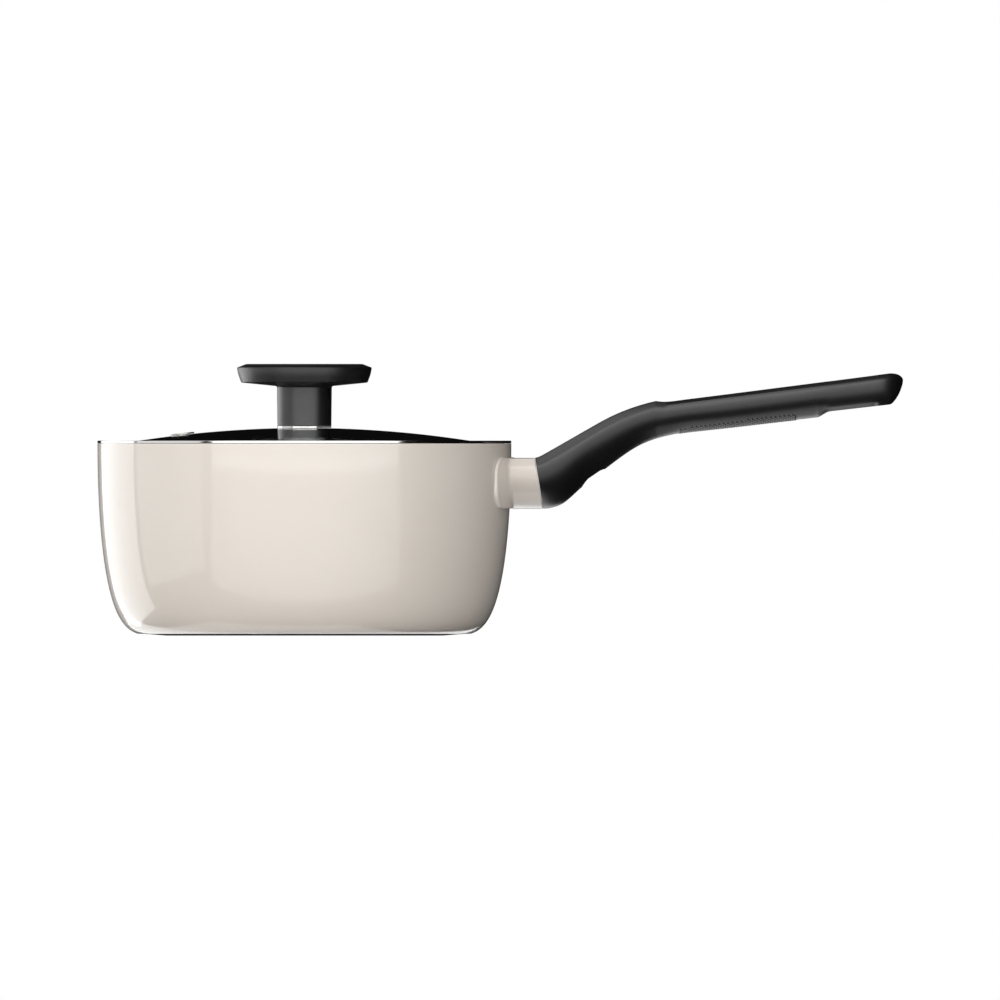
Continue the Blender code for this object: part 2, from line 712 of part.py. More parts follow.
cream_coating = new_material("cream_coating", (0.78, 0.73, 0.66), 0.35)
black_plastic = new_material("black_plastic", (0.012, 0.012, 0.013), 0.45)
stainless = new_material("stainless_steel", (0.62, 0.62, 0.61), 0.22, metallic=1.0)
disc_steel = new_material("disc_steel", (0.20, 0.20, 0.20), 0.40, metallic=1.0)
clear_glass = new_material("clear_glass", (0.90, 0.94, 0.93), 0.02, transmission=1.0)
white_silicone = new_material("white_silicone", (0.80, 0.80, 0.78), 0.50)
turned_brass = new_material("brass", (0.72, 0.52, 0.24), 0.30, metallic=1.0)

make_pan_body(cream_coating)
make_base_plate(disc_steel)
make_handle_mount(cream_coating)
make_rivet("left", RIVET_TURN, stainless)
make_rivet("right", -RIVET_TURN, stainless)
make_handle(black_plastic)
make_handle_screw(stainless, stainless)
make_lid_glass(clear_glass)
make_lid_rim(stainless)
make_vent(stainless)
make_knob(black_plastic)
make_knob_hardware(stainless, turned_brass, white_silicone)
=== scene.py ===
"""A saucepan with a glass lid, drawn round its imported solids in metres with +Z up.

The pan's axis is the Z axis, it stands on z = 0, and its handle points along +X.
Its own pieces ride on the body "pan", and everything that lifts off rides on "lid".
"""

import math

import bmesh
import bpy
import numpy as np
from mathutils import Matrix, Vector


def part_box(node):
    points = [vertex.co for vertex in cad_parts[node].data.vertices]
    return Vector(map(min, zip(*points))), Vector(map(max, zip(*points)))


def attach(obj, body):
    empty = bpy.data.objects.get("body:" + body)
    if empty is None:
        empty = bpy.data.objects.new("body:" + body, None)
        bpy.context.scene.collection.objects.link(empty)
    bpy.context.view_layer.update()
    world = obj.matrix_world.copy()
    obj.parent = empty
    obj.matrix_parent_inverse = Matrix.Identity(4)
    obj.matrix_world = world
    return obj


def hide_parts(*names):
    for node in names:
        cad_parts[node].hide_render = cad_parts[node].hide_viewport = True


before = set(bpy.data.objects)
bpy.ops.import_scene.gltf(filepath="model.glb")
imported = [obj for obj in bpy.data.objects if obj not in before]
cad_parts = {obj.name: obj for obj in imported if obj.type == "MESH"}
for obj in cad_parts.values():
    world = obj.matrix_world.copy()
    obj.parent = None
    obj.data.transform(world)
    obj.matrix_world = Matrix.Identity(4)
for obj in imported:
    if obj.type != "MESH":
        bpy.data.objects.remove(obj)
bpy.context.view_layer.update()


# Vessel. A pressed aluminium pan, sprayed outside with glossy cream enamel and inside
# with a charcoal non-stick coating that is finely flecked like stone. Its foot is recessed
# for the steel disc.

RIM_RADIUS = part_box("pan_body")[1][0]
RIM_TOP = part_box("pan_body")[1][2]
FOOT_RADIUS = 0.062
DRAW_POWER = 2.1
FULLNESS_POWER = 4.25
RIM_WALL = 0.0024
INNER_FOOT_RADIUS = 0.060
FLOOR_TOP = 0.0048
RIM_EASE = 0.0009
RIM_EDGE = 0.00015
FOOT_LIP_RADIUS = 0.0739
FLECKS = ((300.0, 0.12, "#3A3836"), (210.0, 0.13, "#4B4845"), (420.0, 0.12, "#8F8B85"))
FLECK_FADE = 0.05
DISC_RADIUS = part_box("base_plate")[1][0]
DISC_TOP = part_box("base_plate")[1][2]
ROUND = 256


def linear(colour):
    """Linear RGBA of an sRGB hex colour, each channel put through the sRGB curve."""
    channels = np.array([int(colour[place : place + 2], 16) for place in (1, 3, 5)]) / 255
    curve = np.where(channels <= 0.04045, channels / 12.92, ((channels + 0.055) / 1.055) ** 2.4)
    return (*curve.tolist(), 1.0)


def finish(name, sockets):
    """A new material with these plain values; returns it, its Principled shader and object coordinates."""
    material = bpy.data.materials.new(name)
    material.use_nodes = True
    shader = material.node_tree.nodes["Principled BSDF"]
    for socket, value in sockets.items():
        shader.inputs[socket].default_value = value
    return material, shader, add(material, "TexCoord", {}).outputs["Object"]


def add(material, kind, sockets, **settings):
    """Adds a shader node. A socket given as another node's output is linked, and any other is set."""
    node = material.node_tree.nodes.new("ShaderNode" + kind)
    for name, value in settings.items():
        setattr(node, name, value)
    for name, value in sockets.items():
        if isinstance(value, bpy.types.NodeSocket):
            material.node_tree.links.new(value, node.inputs[name])
        else:
            node.inputs[name].default_value = value
    return node


def link(material, output, socket):
    material.node_tree.links.new(output, socket)


def noise(material, place, scale, detail):
    """A noise pattern from 0 to 1, with this many cells to the metre and this many finer octaves."""
    return add(material, "TexNoise", {"Vector": place, "Scale": scale, "Detail": detail}).outputs["Fac"]


def between(material, share, first, second):
    """Colour that runs from one sRGB hex colour to another as the share goes from 0 to 1."""
    sockets = {0: share, 6: linear(first), 7: linear(second)}
    return add(material, "Mix", sockets, data_type="RGBA").outputs[2]


def ranged(material, value, low, high):
    """A value from 0 to 1 laid on the range from low to high, either of which may be an output."""
    return add(material, "MapRange", {"Value": value, "To Min": low, "To Max": high}).outputs[0]


def relief(material, shader, height, strength, distance):
    """Shades a pattern of heights as relief, this many metres deep at full strength; returns its normal."""
    node = add(material, "Bump", {"Strength": strength, "Distance": distance, "Height": height})
    link(material, node.outputs["Normal"], shader.inputs["Normal"])
    return node.outputs["Normal"]


def length(vectors):
    """Lengths of vectors in the last axis, which is kept."""
    return np.linalg.norm(vectors, axis=-1, keepdims=True)


def corner(before, point, after, reach, steps=6):
    """Parabola that rounds a corner: it leaves one side and joins the next at this reach from it."""
    t = np.linspace(0, 1, steps).reshape((-1,) + (1,) * np.ndim(point))
    start = point + (before - point) * (reach / length(before - point))
    end = point + (after - point) * (reach / length(after - point))
    return (1 - t) ** 2 * start + 2 * t * (1 - t) * point + t * t * end


def eased(corners, closed=False):
    """Outline through (r, z, reach) corners, rounded where there is a reach.

    A point just outside each end of a curve keeps the flat side beside it flat in shading.
    """
    points = np.array([place[:2] for place in corners])
    reaches = [place[2] if len(place) > 2 else 0.0 for place in corners]
    line = []
    for index, (point, reach) in enumerate(zip(points, reaches)):
        before = points[index - 1]
        after = points[(index + 1) % len(points)]
        if reach == 0.0 or not closed and index in (0, len(points) - 1):
            line.append(point[None])
            continue
        edges = corner(before, point, after, 1.3 * reach, 2)
        line += [edges[:1], corner(before, point, after, reach), edges[1:]]
    return np.concatenate(line)


def turned(profile, columns=ROUND):
    """Surface of revolution: each (r, z) of the profile is carried round the Z axis."""
    radius, height = np.asarray(profile).T
    angle = np.linspace(0, 2 * math.pi, columns, endpoint=False)
    x = np.outer(radius, np.cos(angle))
    y = np.outer(radius, np.sin(angle))
    return np.stack([x, y, np.repeat(height[:, None], columns, 1)], -1)


def skin(name, grid, ring=False, around=True):
    """Mesh over a grid of points (rows, columns, 3). Columns join round, rows too if ring.

    A row that is drawn together in one point becomes a pole of triangles.
    """
    rows, columns = grid.shape[:2]
    index = np.arange(rows * columns).reshape(rows, columns)
    if around:
        pole = np.ptp(grid, axis=1).max(axis=1) < 1e-7
        index[pole] = index[pole][:, :1]
    first = index if ring else index[:-1]
    second = np.roll(index, -1, 0) if ring else index[1:]
    if around:
        sides = (first, second, np.roll(second, -1, 1), np.roll(first, -1, 1))
    else:
        sides = (first[:, :-1], second[:, :-1], second[:, 1:], first[:, 1:])
    quads = np.stack(sides, -1).reshape(-1, 4)
    flat = (quads[:, 0] == quads[:, 3]) | (quads[:, 1] == quads[:, 2])
    top = quads[:, 0] == quads[:, 3]
    triangles = np.where(top[flat][:, None], quads[flat][:, :3], quads[flat][:, [0, 1, 3]])
    used, tight = np.unique(np.concatenate([quads[~flat].ravel(), triangles.ravel()]), return_inverse=True)
    split = 4 * int((~flat).sum())
    faces = tight[:split].reshape(-1, 4).tolist() + tight[split:].reshape(-1, 3).tolist()
    mesh = bpy.data.meshes.new(name)
    mesh.from_pydata(grid.reshape(-1, 3)[used].tolist(), [], faces)
    return mesh


def piece(name, mesh, *materials, crease=32):
    """Puts a finished mesh in the scene, smooth except along edges sharper than the crease in degrees."""
    mesh.shade_smooth()
    mesh.set_sharp_from_angle(angle=math.radians(crease))
    for material in materials:
        mesh.materials.append(material)
    obj = bpy.data.objects.new(name, mesh)
    bpy.context.scene.collection.objects.link(obj)
    return obj


def vessel_curve(rim_radius, foot_radius, foot_height, last_turn, count):
    """Superellipse from the rim down and in to the foot.

    The radius falls from rim to foot with cos(a) to the power 2/fullness, and the height
    from rim to foot with sin(a) to the power 2/draw. Angles lie closer towards the foot.
    """
    angle = last_turn * np.sin(np.linspace(0, math.pi / 2, count))
    radius = foot_radius + (rim_radius - foot_radius) * np.cos(angle) ** (2 / FULLNESS_POWER)
    return np.stack([radius, RIM_TOP - (RIM_TOP - foot_height) * np.sin(angle) ** (2 / DRAW_POWER)], -1)


def turn_at_radius(radius):
    """The outside superellipse's angle where it has this radius."""
    reach = (radius - FOOT_RADIUS) / (RIM_RADIUS - FOOT_RADIUS)
    return math.acos(reach ** (FULLNESS_POWER / 2))


inner_radius = RIM_RADIUS - RIM_WALL
inside = vessel_curve(inner_radius, INNER_FOOT_RADIUS, FLOOR_TOP, math.radians(89.6), 72)[::-1]
outside = vessel_curve(RIM_RADIUS, FOOT_RADIUS, 0.0, turn_at_radius(FOOT_LIP_RADIUS), 84)
floor = np.stack([np.linspace(0, inside[0, 0], 9)[:-1], np.full(8, FLOOR_TOP)], -1)
inner_edge = np.array([inner_radius, RIM_TOP])
outer_edge = np.array([RIM_RADIUS, RIM_TOP])
above_inside = inside[inside[:, 1] < RIM_TOP - RIM_EASE]
below_outside = outside[outside[:, 1] < RIM_TOP - RIM_EDGE]
foot_low = outside[-1, 1]
recess_radius = DISC_RADIUS + 0.0001
under = eased(
    (
        (FOOT_LIP_RADIUS + 0.0008, foot_low + 0.0005),
        (FOOT_LIP_RADIUS - 0.0002, foot_low, 0.0002),
        (recess_radius, foot_low, 0.00015),
        (recess_radius, DISC_TOP + 0.0001),
        (0.0, DISC_TOP + 0.0001),
    )
)[1:]
rim = np.concatenate(
    [
        corner(above_inside[-1], inner_edge, outer_edge, RIM_EASE, 9),
        corner(inner_edge, outer_edge, below_outside[0], RIM_EDGE, 7),
    ]
)
profile = np.concatenate([floor, above_inside, rim, below_outside[:-1], under])
vessel_mesh = skin("pan_body", turned(profile))

# Glossy sprayed enamel: a clear top coat over a softer cream base, with a slight orange
# peel that makes the edges of reflections waver.
cream, shader, place = finish(
    "glossy_cream_enamel",
    {"Roughness": 0.42, "IOR": 1.5, "Coat Weight": 0.9, "Coat Roughness": 0.07, "Coat IOR": 1.5},
)
drift = noise(cream, place, 28.0, 3.0)
link(cream, between(cream, drift, "#DBD2C8", "#DFD7CE"), shader.inputs["Base Color"])
peel = relief(cream, shader, noise(cream, place, 520.0, 1.0), 0.12, 0.00004)
link(cream, peel, shader.inputs["Coat Normal"])

# Charcoal non-stick: a satin near-black ground with grey flecks about a millimetre wide,
# which sparkle faintly and give the bowl its depth.
charcoal, shader, place = finish(
    "charcoal_flecked_nonstick", {"IOR": 1.5, "Coat Weight": 0.25, "Coat Roughness": 0.2}
)
colour = linear("#262524")
for scale, size, shade in FLECKS:
    cell = add(charcoal, "TexVoronoi", {"Vector": place, "Scale": scale}).outputs["Distance"]
    limits = {"From Min": size, "From Max": size + FLECK_FADE, "To Min": 1.0, "To Max": 0.0}
    fleck = add(charcoal, "MapRange", {"Value": cell, **limits}).outputs[0]
    sockets = {0: fleck, 6: colour, 7: linear(shade)}
    colour = add(charcoal, "Mix", sockets, data_type="RGBA").outputs[2]
link(charcoal, colour, shader.inputs["Base Color"])
grain = noise(charcoal, place, 900.0, 2.0)
link(charcoal, ranged(charcoal, grain, 0.34, 0.5), shader.inputs["Roughness"])
relief(charcoal, shader, grain, 0.2, 0.00006)

vessel = piece("vessel", vessel_mesh, cream, charcoal)
centres, normals = np.empty((2, len(vessel_mesh.polygons), 3))
vessel_mesh.polygons.foreach_get("center", centres.ravel())
vessel_mesh.polygons.foreach_get("normal", normals.ravel())
inward = (centres[:, :2] * normals[:, :2]).sum(1) < 1e-6
lining = inward & (centres[:, 2] > FLOOR_TOP - 0.0005) & (centres[:, 2] < RIM_TOP - 0.0003)
vessel_mesh.polygons.foreach_set("material_index", lining.astype(np.int32))
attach(vessel, "pan")
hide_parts("pan_body")


# Base disc. A stainless steel disc pressed into the foot so that the pan works on induction.
# It is turned flat, with three stamped rings and a bevel out to its edge.

DISC_FLAT_RADIUS = 0.0615
DISC_EDGE_HEIGHT = 0.00095
STAMPED_RINGS = (0.050, 0.034, 0.018)
STAMPED_HALF_WIDTH = 0.0009
STAMPED_DEPTH = 0.0003
STAMPED_EASE = 0.0002

corners = [(0.0, DISC_TOP), (DISC_RADIUS, DISC_TOP, 0.00015), (DISC_RADIUS, DISC_EDGE_HEIGHT, 0.0002)]
corners += [(DISC_FLAT_RADIUS, 0.0, 0.0006)]
for radius in STAMPED_RINGS:
    for offset, depth in ((1.0, 0.0), (0.5, STAMPED_DEPTH), (-0.5, STAMPED_DEPTH), (-1.0, 0.0)):
        corners.append((radius + offset * STAMPED_HALF_WIDTH, depth, STAMPED_EASE))
corners += [(0.0025, 0.0, 0.0003), (0.0, 0.0006)]

# Turned stainless: fine rings from the lathe stretch every highlight into a bow tie. Its
# colours and edge tint are painted far darker than bare steel. This is painted shade that keeps
# its thin edge near black.
shade_darkened_steel, shader, place = finish(
    "shade_darkened_stainless_disc", {"Metallic": 1.0, "Roughness": 0.42, "Specular Tint": linear("#303030")}
)
rings = add(
    shade_darkened_steel,
    "TexWave",
    {"Vector": place, "Scale": 520.0, "Distortion": 0.1, "Detail": 1.0},
    wave_type="RINGS",
    rings_direction="Z",
)
shades = between(shade_darkened_steel, rings.outputs["Fac"], "#3E3E3F", "#565657")
link(shade_darkened_steel, shades, shader.inputs["Base Color"])
relief(shade_darkened_steel, shader, rings.outputs["Fac"], 0.35, 0.00003)


def lathe(name, node, corners, material, columns=ROUND, ring=False, crease=32, move=None):
    """Piece turned from (r, z, reach) corners, then moved from the Z axis. A ring's outline is closed."""
    grid = turned(eased(corners, closed=ring), columns)
    if move:
        grid = move(grid)
    return piece(name, skin(node, grid, ring=ring), material, crease=crease)


disc = lathe("induction_disc", "base_plate", corners, shade_darkened_steel, crease=50)
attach(disc, "pan")
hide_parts("base_plate")


# Handle mount. A cast aluminium saddle and neck in one, riveted to the vessel's wall and
# sprayed with the same cream enamel. The neck's end is cut on a slant to meet the handle.

SADDLE_RADIUS = 0.0929
SADDLE_HALF_WIDTH = 0.0355
SADDLE_CORNER = 0.0080
SADDLE_PRESS = 0.0003
NECK_TOP = 0.0790
NECK_BOTTOM = 0.0564
NECK_HALF_WIDTH = 0.0215
NECK_END_TOP_X = 0.1024
NECK_END_BOTTOM_X = 0.1061
NECK_FILLET = 0.0018
CHAMFER_IN = 0.0032
NECK_CHAMFER_DROP = 0.0031
NECK_BELLY_SHARE = 0.20
NECK_UNDERSIDE_POWER = 2.0
SHOULDER_SHARE = 0.965
EDGE_EASE = 0.0004
END_EASE = 0.0005


def section(top_half, side, drop, thickness, belly, power, edge=EDGE_EASE, crown=0.0002):
    """Half outline across the handle or its neck as (out, down) from the top's middle to the underside's.

    A top with a slight crown, a chamfer down to the side, a side that swells outwards
    as a parabola to the belly, and a superellipse of the given power round underneath,
    taken at even directions. Each argument may be an array with one value per station.
    """
    shape = np.broadcast(top_half, side, drop, thickness, belly, power).shape
    zero = np.zeros(shape)
    top = np.stack([zero, zero], -1)
    shoulder = np.stack([top_half + zero, zero + crown], -1)
    upright = np.stack([SHOULDER_SHARE * side + zero, drop + zero], -1)
    t = np.linspace(0, 1, 12)[1:-1].reshape((-1,) + (1,) * len(shape))
    swell_out = side * (1 - (1 - SHOULDER_SHARE) * (1 - t) ** 2)
    swell = np.stack([swell_out, drop + (belly * thickness - drop) * t], -1)
    a = np.linspace(0, math.pi / 2, 44).reshape((-1,) + (1,) * len(shape))
    ray = (np.cos(a) ** power + np.sin(a) ** power) ** (-1 / power)
    under = np.stack([side * np.cos(a) * ray, thickness * (belly + (1 - belly) * np.sin(a) * ray)], -1)
    along_crown = np.linspace(0, 1, 6)[:-1].reshape((-1,) + (1,) * (len(shape) + 1))
    over = top + (shoulder - top) * along_crown ** np.array([1.0, 2.0])
    reach = np.minimum(edge, 0.3 * length(shoulder - upright))
    first = corner(top, shoulder, upright, reach, 4)
    reach = np.minimum(reach, 0.4 * length(swell[0] - upright))
    second = corner(shoulder, upright, swell[0], reach, 4)
    return np.concatenate([over, first, second, swell, under])


def both_sides(half):
    """Whole outline from a half one: the half on +Y, then its mirror image back up to the top."""
    mirrored = half[-2:0:-1] * np.array([-1.0, 1.0])
    return np.concatenate([half, mirrored])


def saddle_half(low, high, width, easing, counts):
    """Half outline (out, down from high) of a rectangle with rounded corners.

    The counts are of points along the top, round and down the side, and round and along
    the foot, so that the outline can match the neck's point for point.
    """
    top, side, foot = counts
    turn_top = np.linspace(0, math.pi / 2, side[0])
    down = high - low
    flat = np.stack([np.linspace(0, width - easing, top + 1)[:-1], np.zeros(top)], -1)
    inset = width - easing
    upper = np.stack([inset + easing * np.sin(turn_top), easing - easing * np.cos(turn_top)], -1)
    straight_down = np.linspace(easing, down - easing, side[1] + 2)[1:-1]
    straight = np.stack([np.full(side[1], width), straight_down], -1)
    turn_low = np.linspace(0, math.pi / 2, foot[0])
    lower_down = down - easing + easing * np.sin(turn_low)
    lower = np.stack([inset + easing * np.cos(turn_low), lower_down], -1)
    base = np.stack([np.linspace(inset, 0, foot[1] + 1)[1:], np.full(foot[1], down)], -1)
    return np.concatenate([flat, upper, straight, lower, base])


def vessel_radius(height):
    """The vessel's outside radius at a height: vessel_curve's superellipse solved for the radius."""
    sine = ((RIM_TOP - height) / RIM_TOP) ** (DRAW_POWER / 2)
    return FOOT_RADIUS + (RIM_RADIUS - FOOT_RADIUS) * (1 - sine**2) ** (1 / FULLNESS_POWER)


neck_height = NECK_TOP - NECK_BOTTOM
neck_half = section(
    NECK_HALF_WIDTH - CHAMFER_IN,
    NECK_HALF_WIDTH,
    NECK_CHAMFER_DROP,
    neck_height,
    NECK_BELLY_SHARE,
    NECK_UNDERSIDE_POWER,
)
neck = both_sides(neck_half)
plate_low = NECK_BOTTOM + 0.0001
plate_high = NECK_TOP + 0.0003
plate_half = saddle_half(plate_low, plate_high, SADDLE_HALF_WIDTH, SADDLE_CORNER, (5, (8, 10), (22, 22)))
plate = both_sides(plate_half)
plate_middle = np.array([0.0, (plate_high - plate_low) / 2])


def against(outline, high, radius):
    """An outline (out, down from high) laid on an upright round wall of this radius, as (x, y, z)."""
    out, down = outline[..., 0], outline[..., 1]
    return np.stack([np.sqrt(radius**2 - out**2), out, high - down], -1)


def widened(outline, extra):
    """The neck's outline moved outwards by extra all round, scaled about its middle."""
    half_height = neck_height / 2
    centre = np.array([0.0, half_height])
    scale = np.array([(NECK_HALF_WIDTH + extra) / NECK_HALF_WIDTH, (half_height + extra) / half_height])
    return centre + (outline - centre) * scale


def saddle_row(share_out, share_down, depth):
    """The saddle's outline drawn in about its middle, at this share of the way from its back to its face.

    The back lies just inside the vessel's outer face, so that no gap shows.
    """
    outline = plate_middle + (plate - plate_middle) * np.array([share_out, share_down])
    z = plate_high - outline[:, 1]
    back = np.sqrt((vessel_radius(z) - SADDLE_PRESS) ** 2 - outline[:, 0] ** 2)
    face = np.sqrt(SADDLE_RADIUS**2 - outline[:, 0] ** 2)
    return np.stack([back + (face - back) * depth, outline[:, 0], z], -1)


# The saddle's back, its rounded edge, its face, the fillet at the neck's root, the neck, and
# the neck's slanted end.
rows = [saddle_row(share, share, 0.0) for share in (0.0, 0.5, 0.97)]
for share, depth in ((1.0, 0.0), (1.0, 0.55), (0.996, 0.85), (0.987, 1.0), (0.975, 1.0)):
    rows.append(saddle_row(share, 1 - (1 - share) * 1.5, depth))
start = plate_middle + (plate - plate_middle) * np.array([0.975, 0.9625])
start = start + np.array([0.0, NECK_TOP - plate_high])
goal_wide = neck + (widened(neck, NECK_FILLET) - neck) * np.array([1.0, 0.15])
for share in np.linspace(0, 1, 12)[1:]:
    outline = start + (goal_wide - start) * share
    rows.append(against(outline, NECK_TOP, SADDLE_RADIUS))
for turn in np.radians(np.linspace(0, 90, 9)[1:]):
    outline = neck + (goal_wide - neck) * (1 - math.sin(turn))
    row = against(outline, NECK_TOP, SADDLE_RADIUS)
    row[:, 0] += NECK_FILLET * (1 - math.cos(turn))
    rows.append(row)
fillet_end = rows[-1][:, 0]
slant = NECK_END_TOP_X + (NECK_END_BOTTOM_X - NECK_END_TOP_X) * neck[:, 1] / neck_height
for share in np.linspace(0, 1, 14)[1:]:
    along = fillet_end + (slant - END_EASE - fillet_end) * share
    rows.append(np.stack([along, neck[:, 0], NECK_TOP - neck[:, 1]], -1))
neck_middle = np.array([0.0, neck_height / 2])
for turn in np.radians((30, 60, 90)):
    outline = widened(neck, -EDGE_EASE * (1 - math.cos(turn)))
    along = slant - END_EASE + END_EASE * math.sin(turn)
    rows.append(np.stack([along, outline[:, 0], NECK_TOP - outline[:, 1]], -1))
for share in (0.95, 0.0):
    outline = neck_middle + (widened(neck, -EDGE_EASE) - neck_middle) * share
    along = NECK_END_TOP_X + (NECK_END_BOTTOM_X - NECK_END_TOP_X) * outline[:, 1] / neck_height
    rows.append(np.stack([along, outline[:, 0], NECK_TOP - outline[:, 1]], -1))
mount_mesh = skin("handle_mount", np.array(rows))

mount = piece("saddle_and_neck", mount_mesh, cream, crease=40)
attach(mount, "pan")
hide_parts("handle_mount")


# Rivets. Two domed stainless rivets hold the saddle through the vessel's wall. Only their
# heads show, inside the pan.

RIVET_HEIGHT = 0.0675
RIVET_TURN = math.radians(7.3)
RIVET_HEAD_RADIUS = 0.0050
RIVET_HEAD_FACE = 0.0889
RIVET_RADIUS = 0.0025
RIVET_END = 0.0980


def placed(grid, origin, axis_x, axis_y, axis_z):
    """A grid made at the origin, moved so that its own axes lie along the given ones."""
    return np.asarray(origin) + grid @ np.array([axis_x, axis_y, axis_z])


corners = [(0.0, RIVET_END), (RIVET_RADIUS, RIVET_END, 0.0003), (RIVET_RADIUS, RIVET_HEAD_FACE)]
corners += [(RIVET_HEAD_RADIUS, RIVET_HEAD_FACE), (RIVET_HEAD_RADIUS, RIVET_HEAD_FACE - 0.0006, 0.0003)]
corners += [(RIVET_HEAD_RADIUS * 0.66, RIVET_HEAD_FACE - 0.0014, 0.0012), (0.0, RIVET_HEAD_FACE - 0.0016)]
rivet_grid = turned(eased(corners), 64)

# Drawn stainless: bright, with the faint tumbling marks of small hardware.
hardware, shader, place = finish("tumbled_stainless_hardware", {"Metallic": 1.0})
marks = noise(hardware, place, 1400.0, 3.0)
link(hardware, between(hardware, marks, "#B4B3B0", "#D2D1CE"), shader.inputs["Base Color"])
link(hardware, ranged(hardware, marks, 0.16, 0.34), shader.inputs["Roughness"])
relief(hardware, shader, marks, 0.15, 0.00002)

for side, turn in (("left", RIVET_TURN), ("right", -RIVET_TURN)):
    outward = (math.cos(turn), math.sin(turn), 0.0)
    across = (-math.sin(turn), math.cos(turn), 0.0)
    grid = placed(rivet_grid, (0.0, 0.0, RIVET_HEIGHT), (0.0, 0.0, -1.0), across, outward)
    rivet = piece("rivet_head_" + side, skin("rivet_" + side, grid), hardware)
    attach(rivet, "pan")
    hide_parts("rivet_" + side)


# Handle. A phenolic moulding, screwed to the neck's tang from below. It rises from the neck,
# has a thumb stop on top, a dotted grip underneath, and a slot at its end to hang it by.

HANDLE_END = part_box("handle")[1][0]
TOP_LINE = (
    (0.1025, 0.0791, 0.10),
    (0.1067, 0.0808, 0.56),
    (0.1316, 0.0950, 0.56),
    (0.1561, 0.1043, 0.23),
    (0.1564, 0.1043, -0.10),
    (0.1597, 0.1040, 0.00),
    (0.1694, 0.1050, 0.125),
    (HANDLE_END, 0.1174, 0.130),
)
BOTTOM_LINE = (
    (0.1059, 0.0564, 0.00),
    (0.1139, 0.0582, 0.47),
    (0.1228, 0.0655, 0.86),
    (0.1343, 0.0745, 0.76),
    (0.1494, 0.0848, 0.50),
    (0.1628, 0.0892, 0.22),
    (0.1761, 0.0911, 0.105),
    (0.2028, 0.0941, 0.12),
    (0.2270, 0.0969, 0.12),
    (0.2286, 0.0972, 0.40),
    (0.2325, 0.0993, 0.40),
    (0.2355, 0.0999, 0.112),
    (HANDLE_END, 0.1034, 0.112),
)
WIDTH_LINE = (
    (0.1025, NECK_HALF_WIDTH, 0.00),
    (0.1300, 0.0172, -0.17),
    (0.1600, 0.0140, -0.04),
    (0.1950, 0.0137, 0.02),
    (0.2350, 0.0153, 0.03),
    (HANDLE_END, 0.0157, 0.00),
)
CHAMFER_DROP = (
    (0.1025, 0.0034, 0.02),
    (0.1316, 0.0040, 0.00),
    (0.1561, 0.0034, 0.00),
    (0.1628, 0.0015, 0.00),
    (HANDLE_END, 0.0018, 0.00),
)
BELLY_SHARE = (
    (0.1025, NECK_BELLY_SHARE, 0.0),
    (0.1250, 0.21, 0.0),
    (0.1600, 0.24, 0.0),
    (HANDLE_END, 0.22, 0.0),
)
UNDERSIDE_POWER = (
    (0.1025, NECK_UNDERSIDE_POWER, 0.0),
    (0.1250, 1.85, 0.0),
    (0.1600, 2.05, 0.0),
    (HANDLE_END, 2.1, 0.0),
)
STRETCHES = (
    (0.1025, 0.1075, 12),
    (0.1075, 0.1561, 72),
    (0.1561, 0.1564, 1),
    (0.1564, 0.1628, 18),
    (0.1628, 0.1655, 6),
    (0.1655, 0.2195, 216),
    (0.2195, 0.2270, 14),
    (0.2270, 0.2355, 36),
    (0.2355, 0.2500, 24),
)
TIP_START = 0.2500
TIP_ROWS = 40
TOP_NOSE = (0.0067, 0.0040, 2.0)
BOTTOM_NOSE = (0.0058, 0.0100, 1.5)
TIP_ROUNDING_POWER = 2.2
FRONT_LEAN = 0.0037
FRONT_LEAN_LENGTH = 0.026
LOOP_START = 0.2272
LOOP_BLEND = 0.0070
LOOP_END = 0.2548
LOOP_DEPTH = 1.30
LOOP_BEVEL_HEIGHT = 0.0018
LOOP_BEVEL_SLOPE = math.radians(66)
DOT_PITCH = 0.0020
DOT_RADIUS = 0.00062
DOT_HEIGHT = 0.00028
DOT_RANGE = (0.1665, 0.2190)
DOT_GIRTH = (0.0078, 0.0100)


def through(knots, x):
    """Smooth curve through knots (x, value, slope): a cubic Hermite between each two."""
    places, values, slopes = np.array(knots).T
    i = np.clip(np.searchsorted(places, x) - 1, 0, len(places) - 2)
    span = places[i + 1] - places[i]
    t = (x - places[i]) / span
    rise = (values[i + 1] - values[i]) * t * t * (3 - 2 * t)
    return values[i] + rise + span * t * (1 - t) * ((1 - t) * slopes[i] - t * slopes[i + 1])


def nose(x, length, depth, power):
    """How far an outline has turned in near the handle's end, as a superellipse's quarter.

    The share of the last length that is used up gives depth times one less the power-th
    root of one less the share to that power.
    """
    share = np.clip((x - HANDLE_END + length) / length, 0, 1)
    return depth * (1 - (1 - share**power) ** (1 / power))


def dots(along, girth):
    """Height of the grip's dots: round caps on two interleaved square lattices.

    A dot is kept whole or left out, by whether its middle lies within the range along the
    handle and within a girth that widens along it.
    """
    height = np.zeros_like(along)
    for shift in (0.0, 0.5):
        u = along / DOT_PITCH - shift
        v = girth / DOT_PITCH - shift
        nearest_u, nearest_v = np.round(u), np.round(v)
        distance = np.hypot(u - nearest_u, v - nearest_v) * DOT_PITCH / DOT_RADIUS
        centre_x = (nearest_u + shift) * DOT_PITCH
        widest = np.interp(centre_x, DOT_RANGE, DOT_GIRTH)
        inside_range = (centre_x > DOT_RANGE[0]) & (centre_x < DOT_RANGE[1])
        kept = (np.abs(nearest_v + shift) * DOT_PITCH < widest) & inside_range
        cap = np.clip(1 - distance**2, 0, 1) ** 0.75
        height = np.maximum(height, np.where(kept, DOT_HEIGHT * cap, 0))
    return height


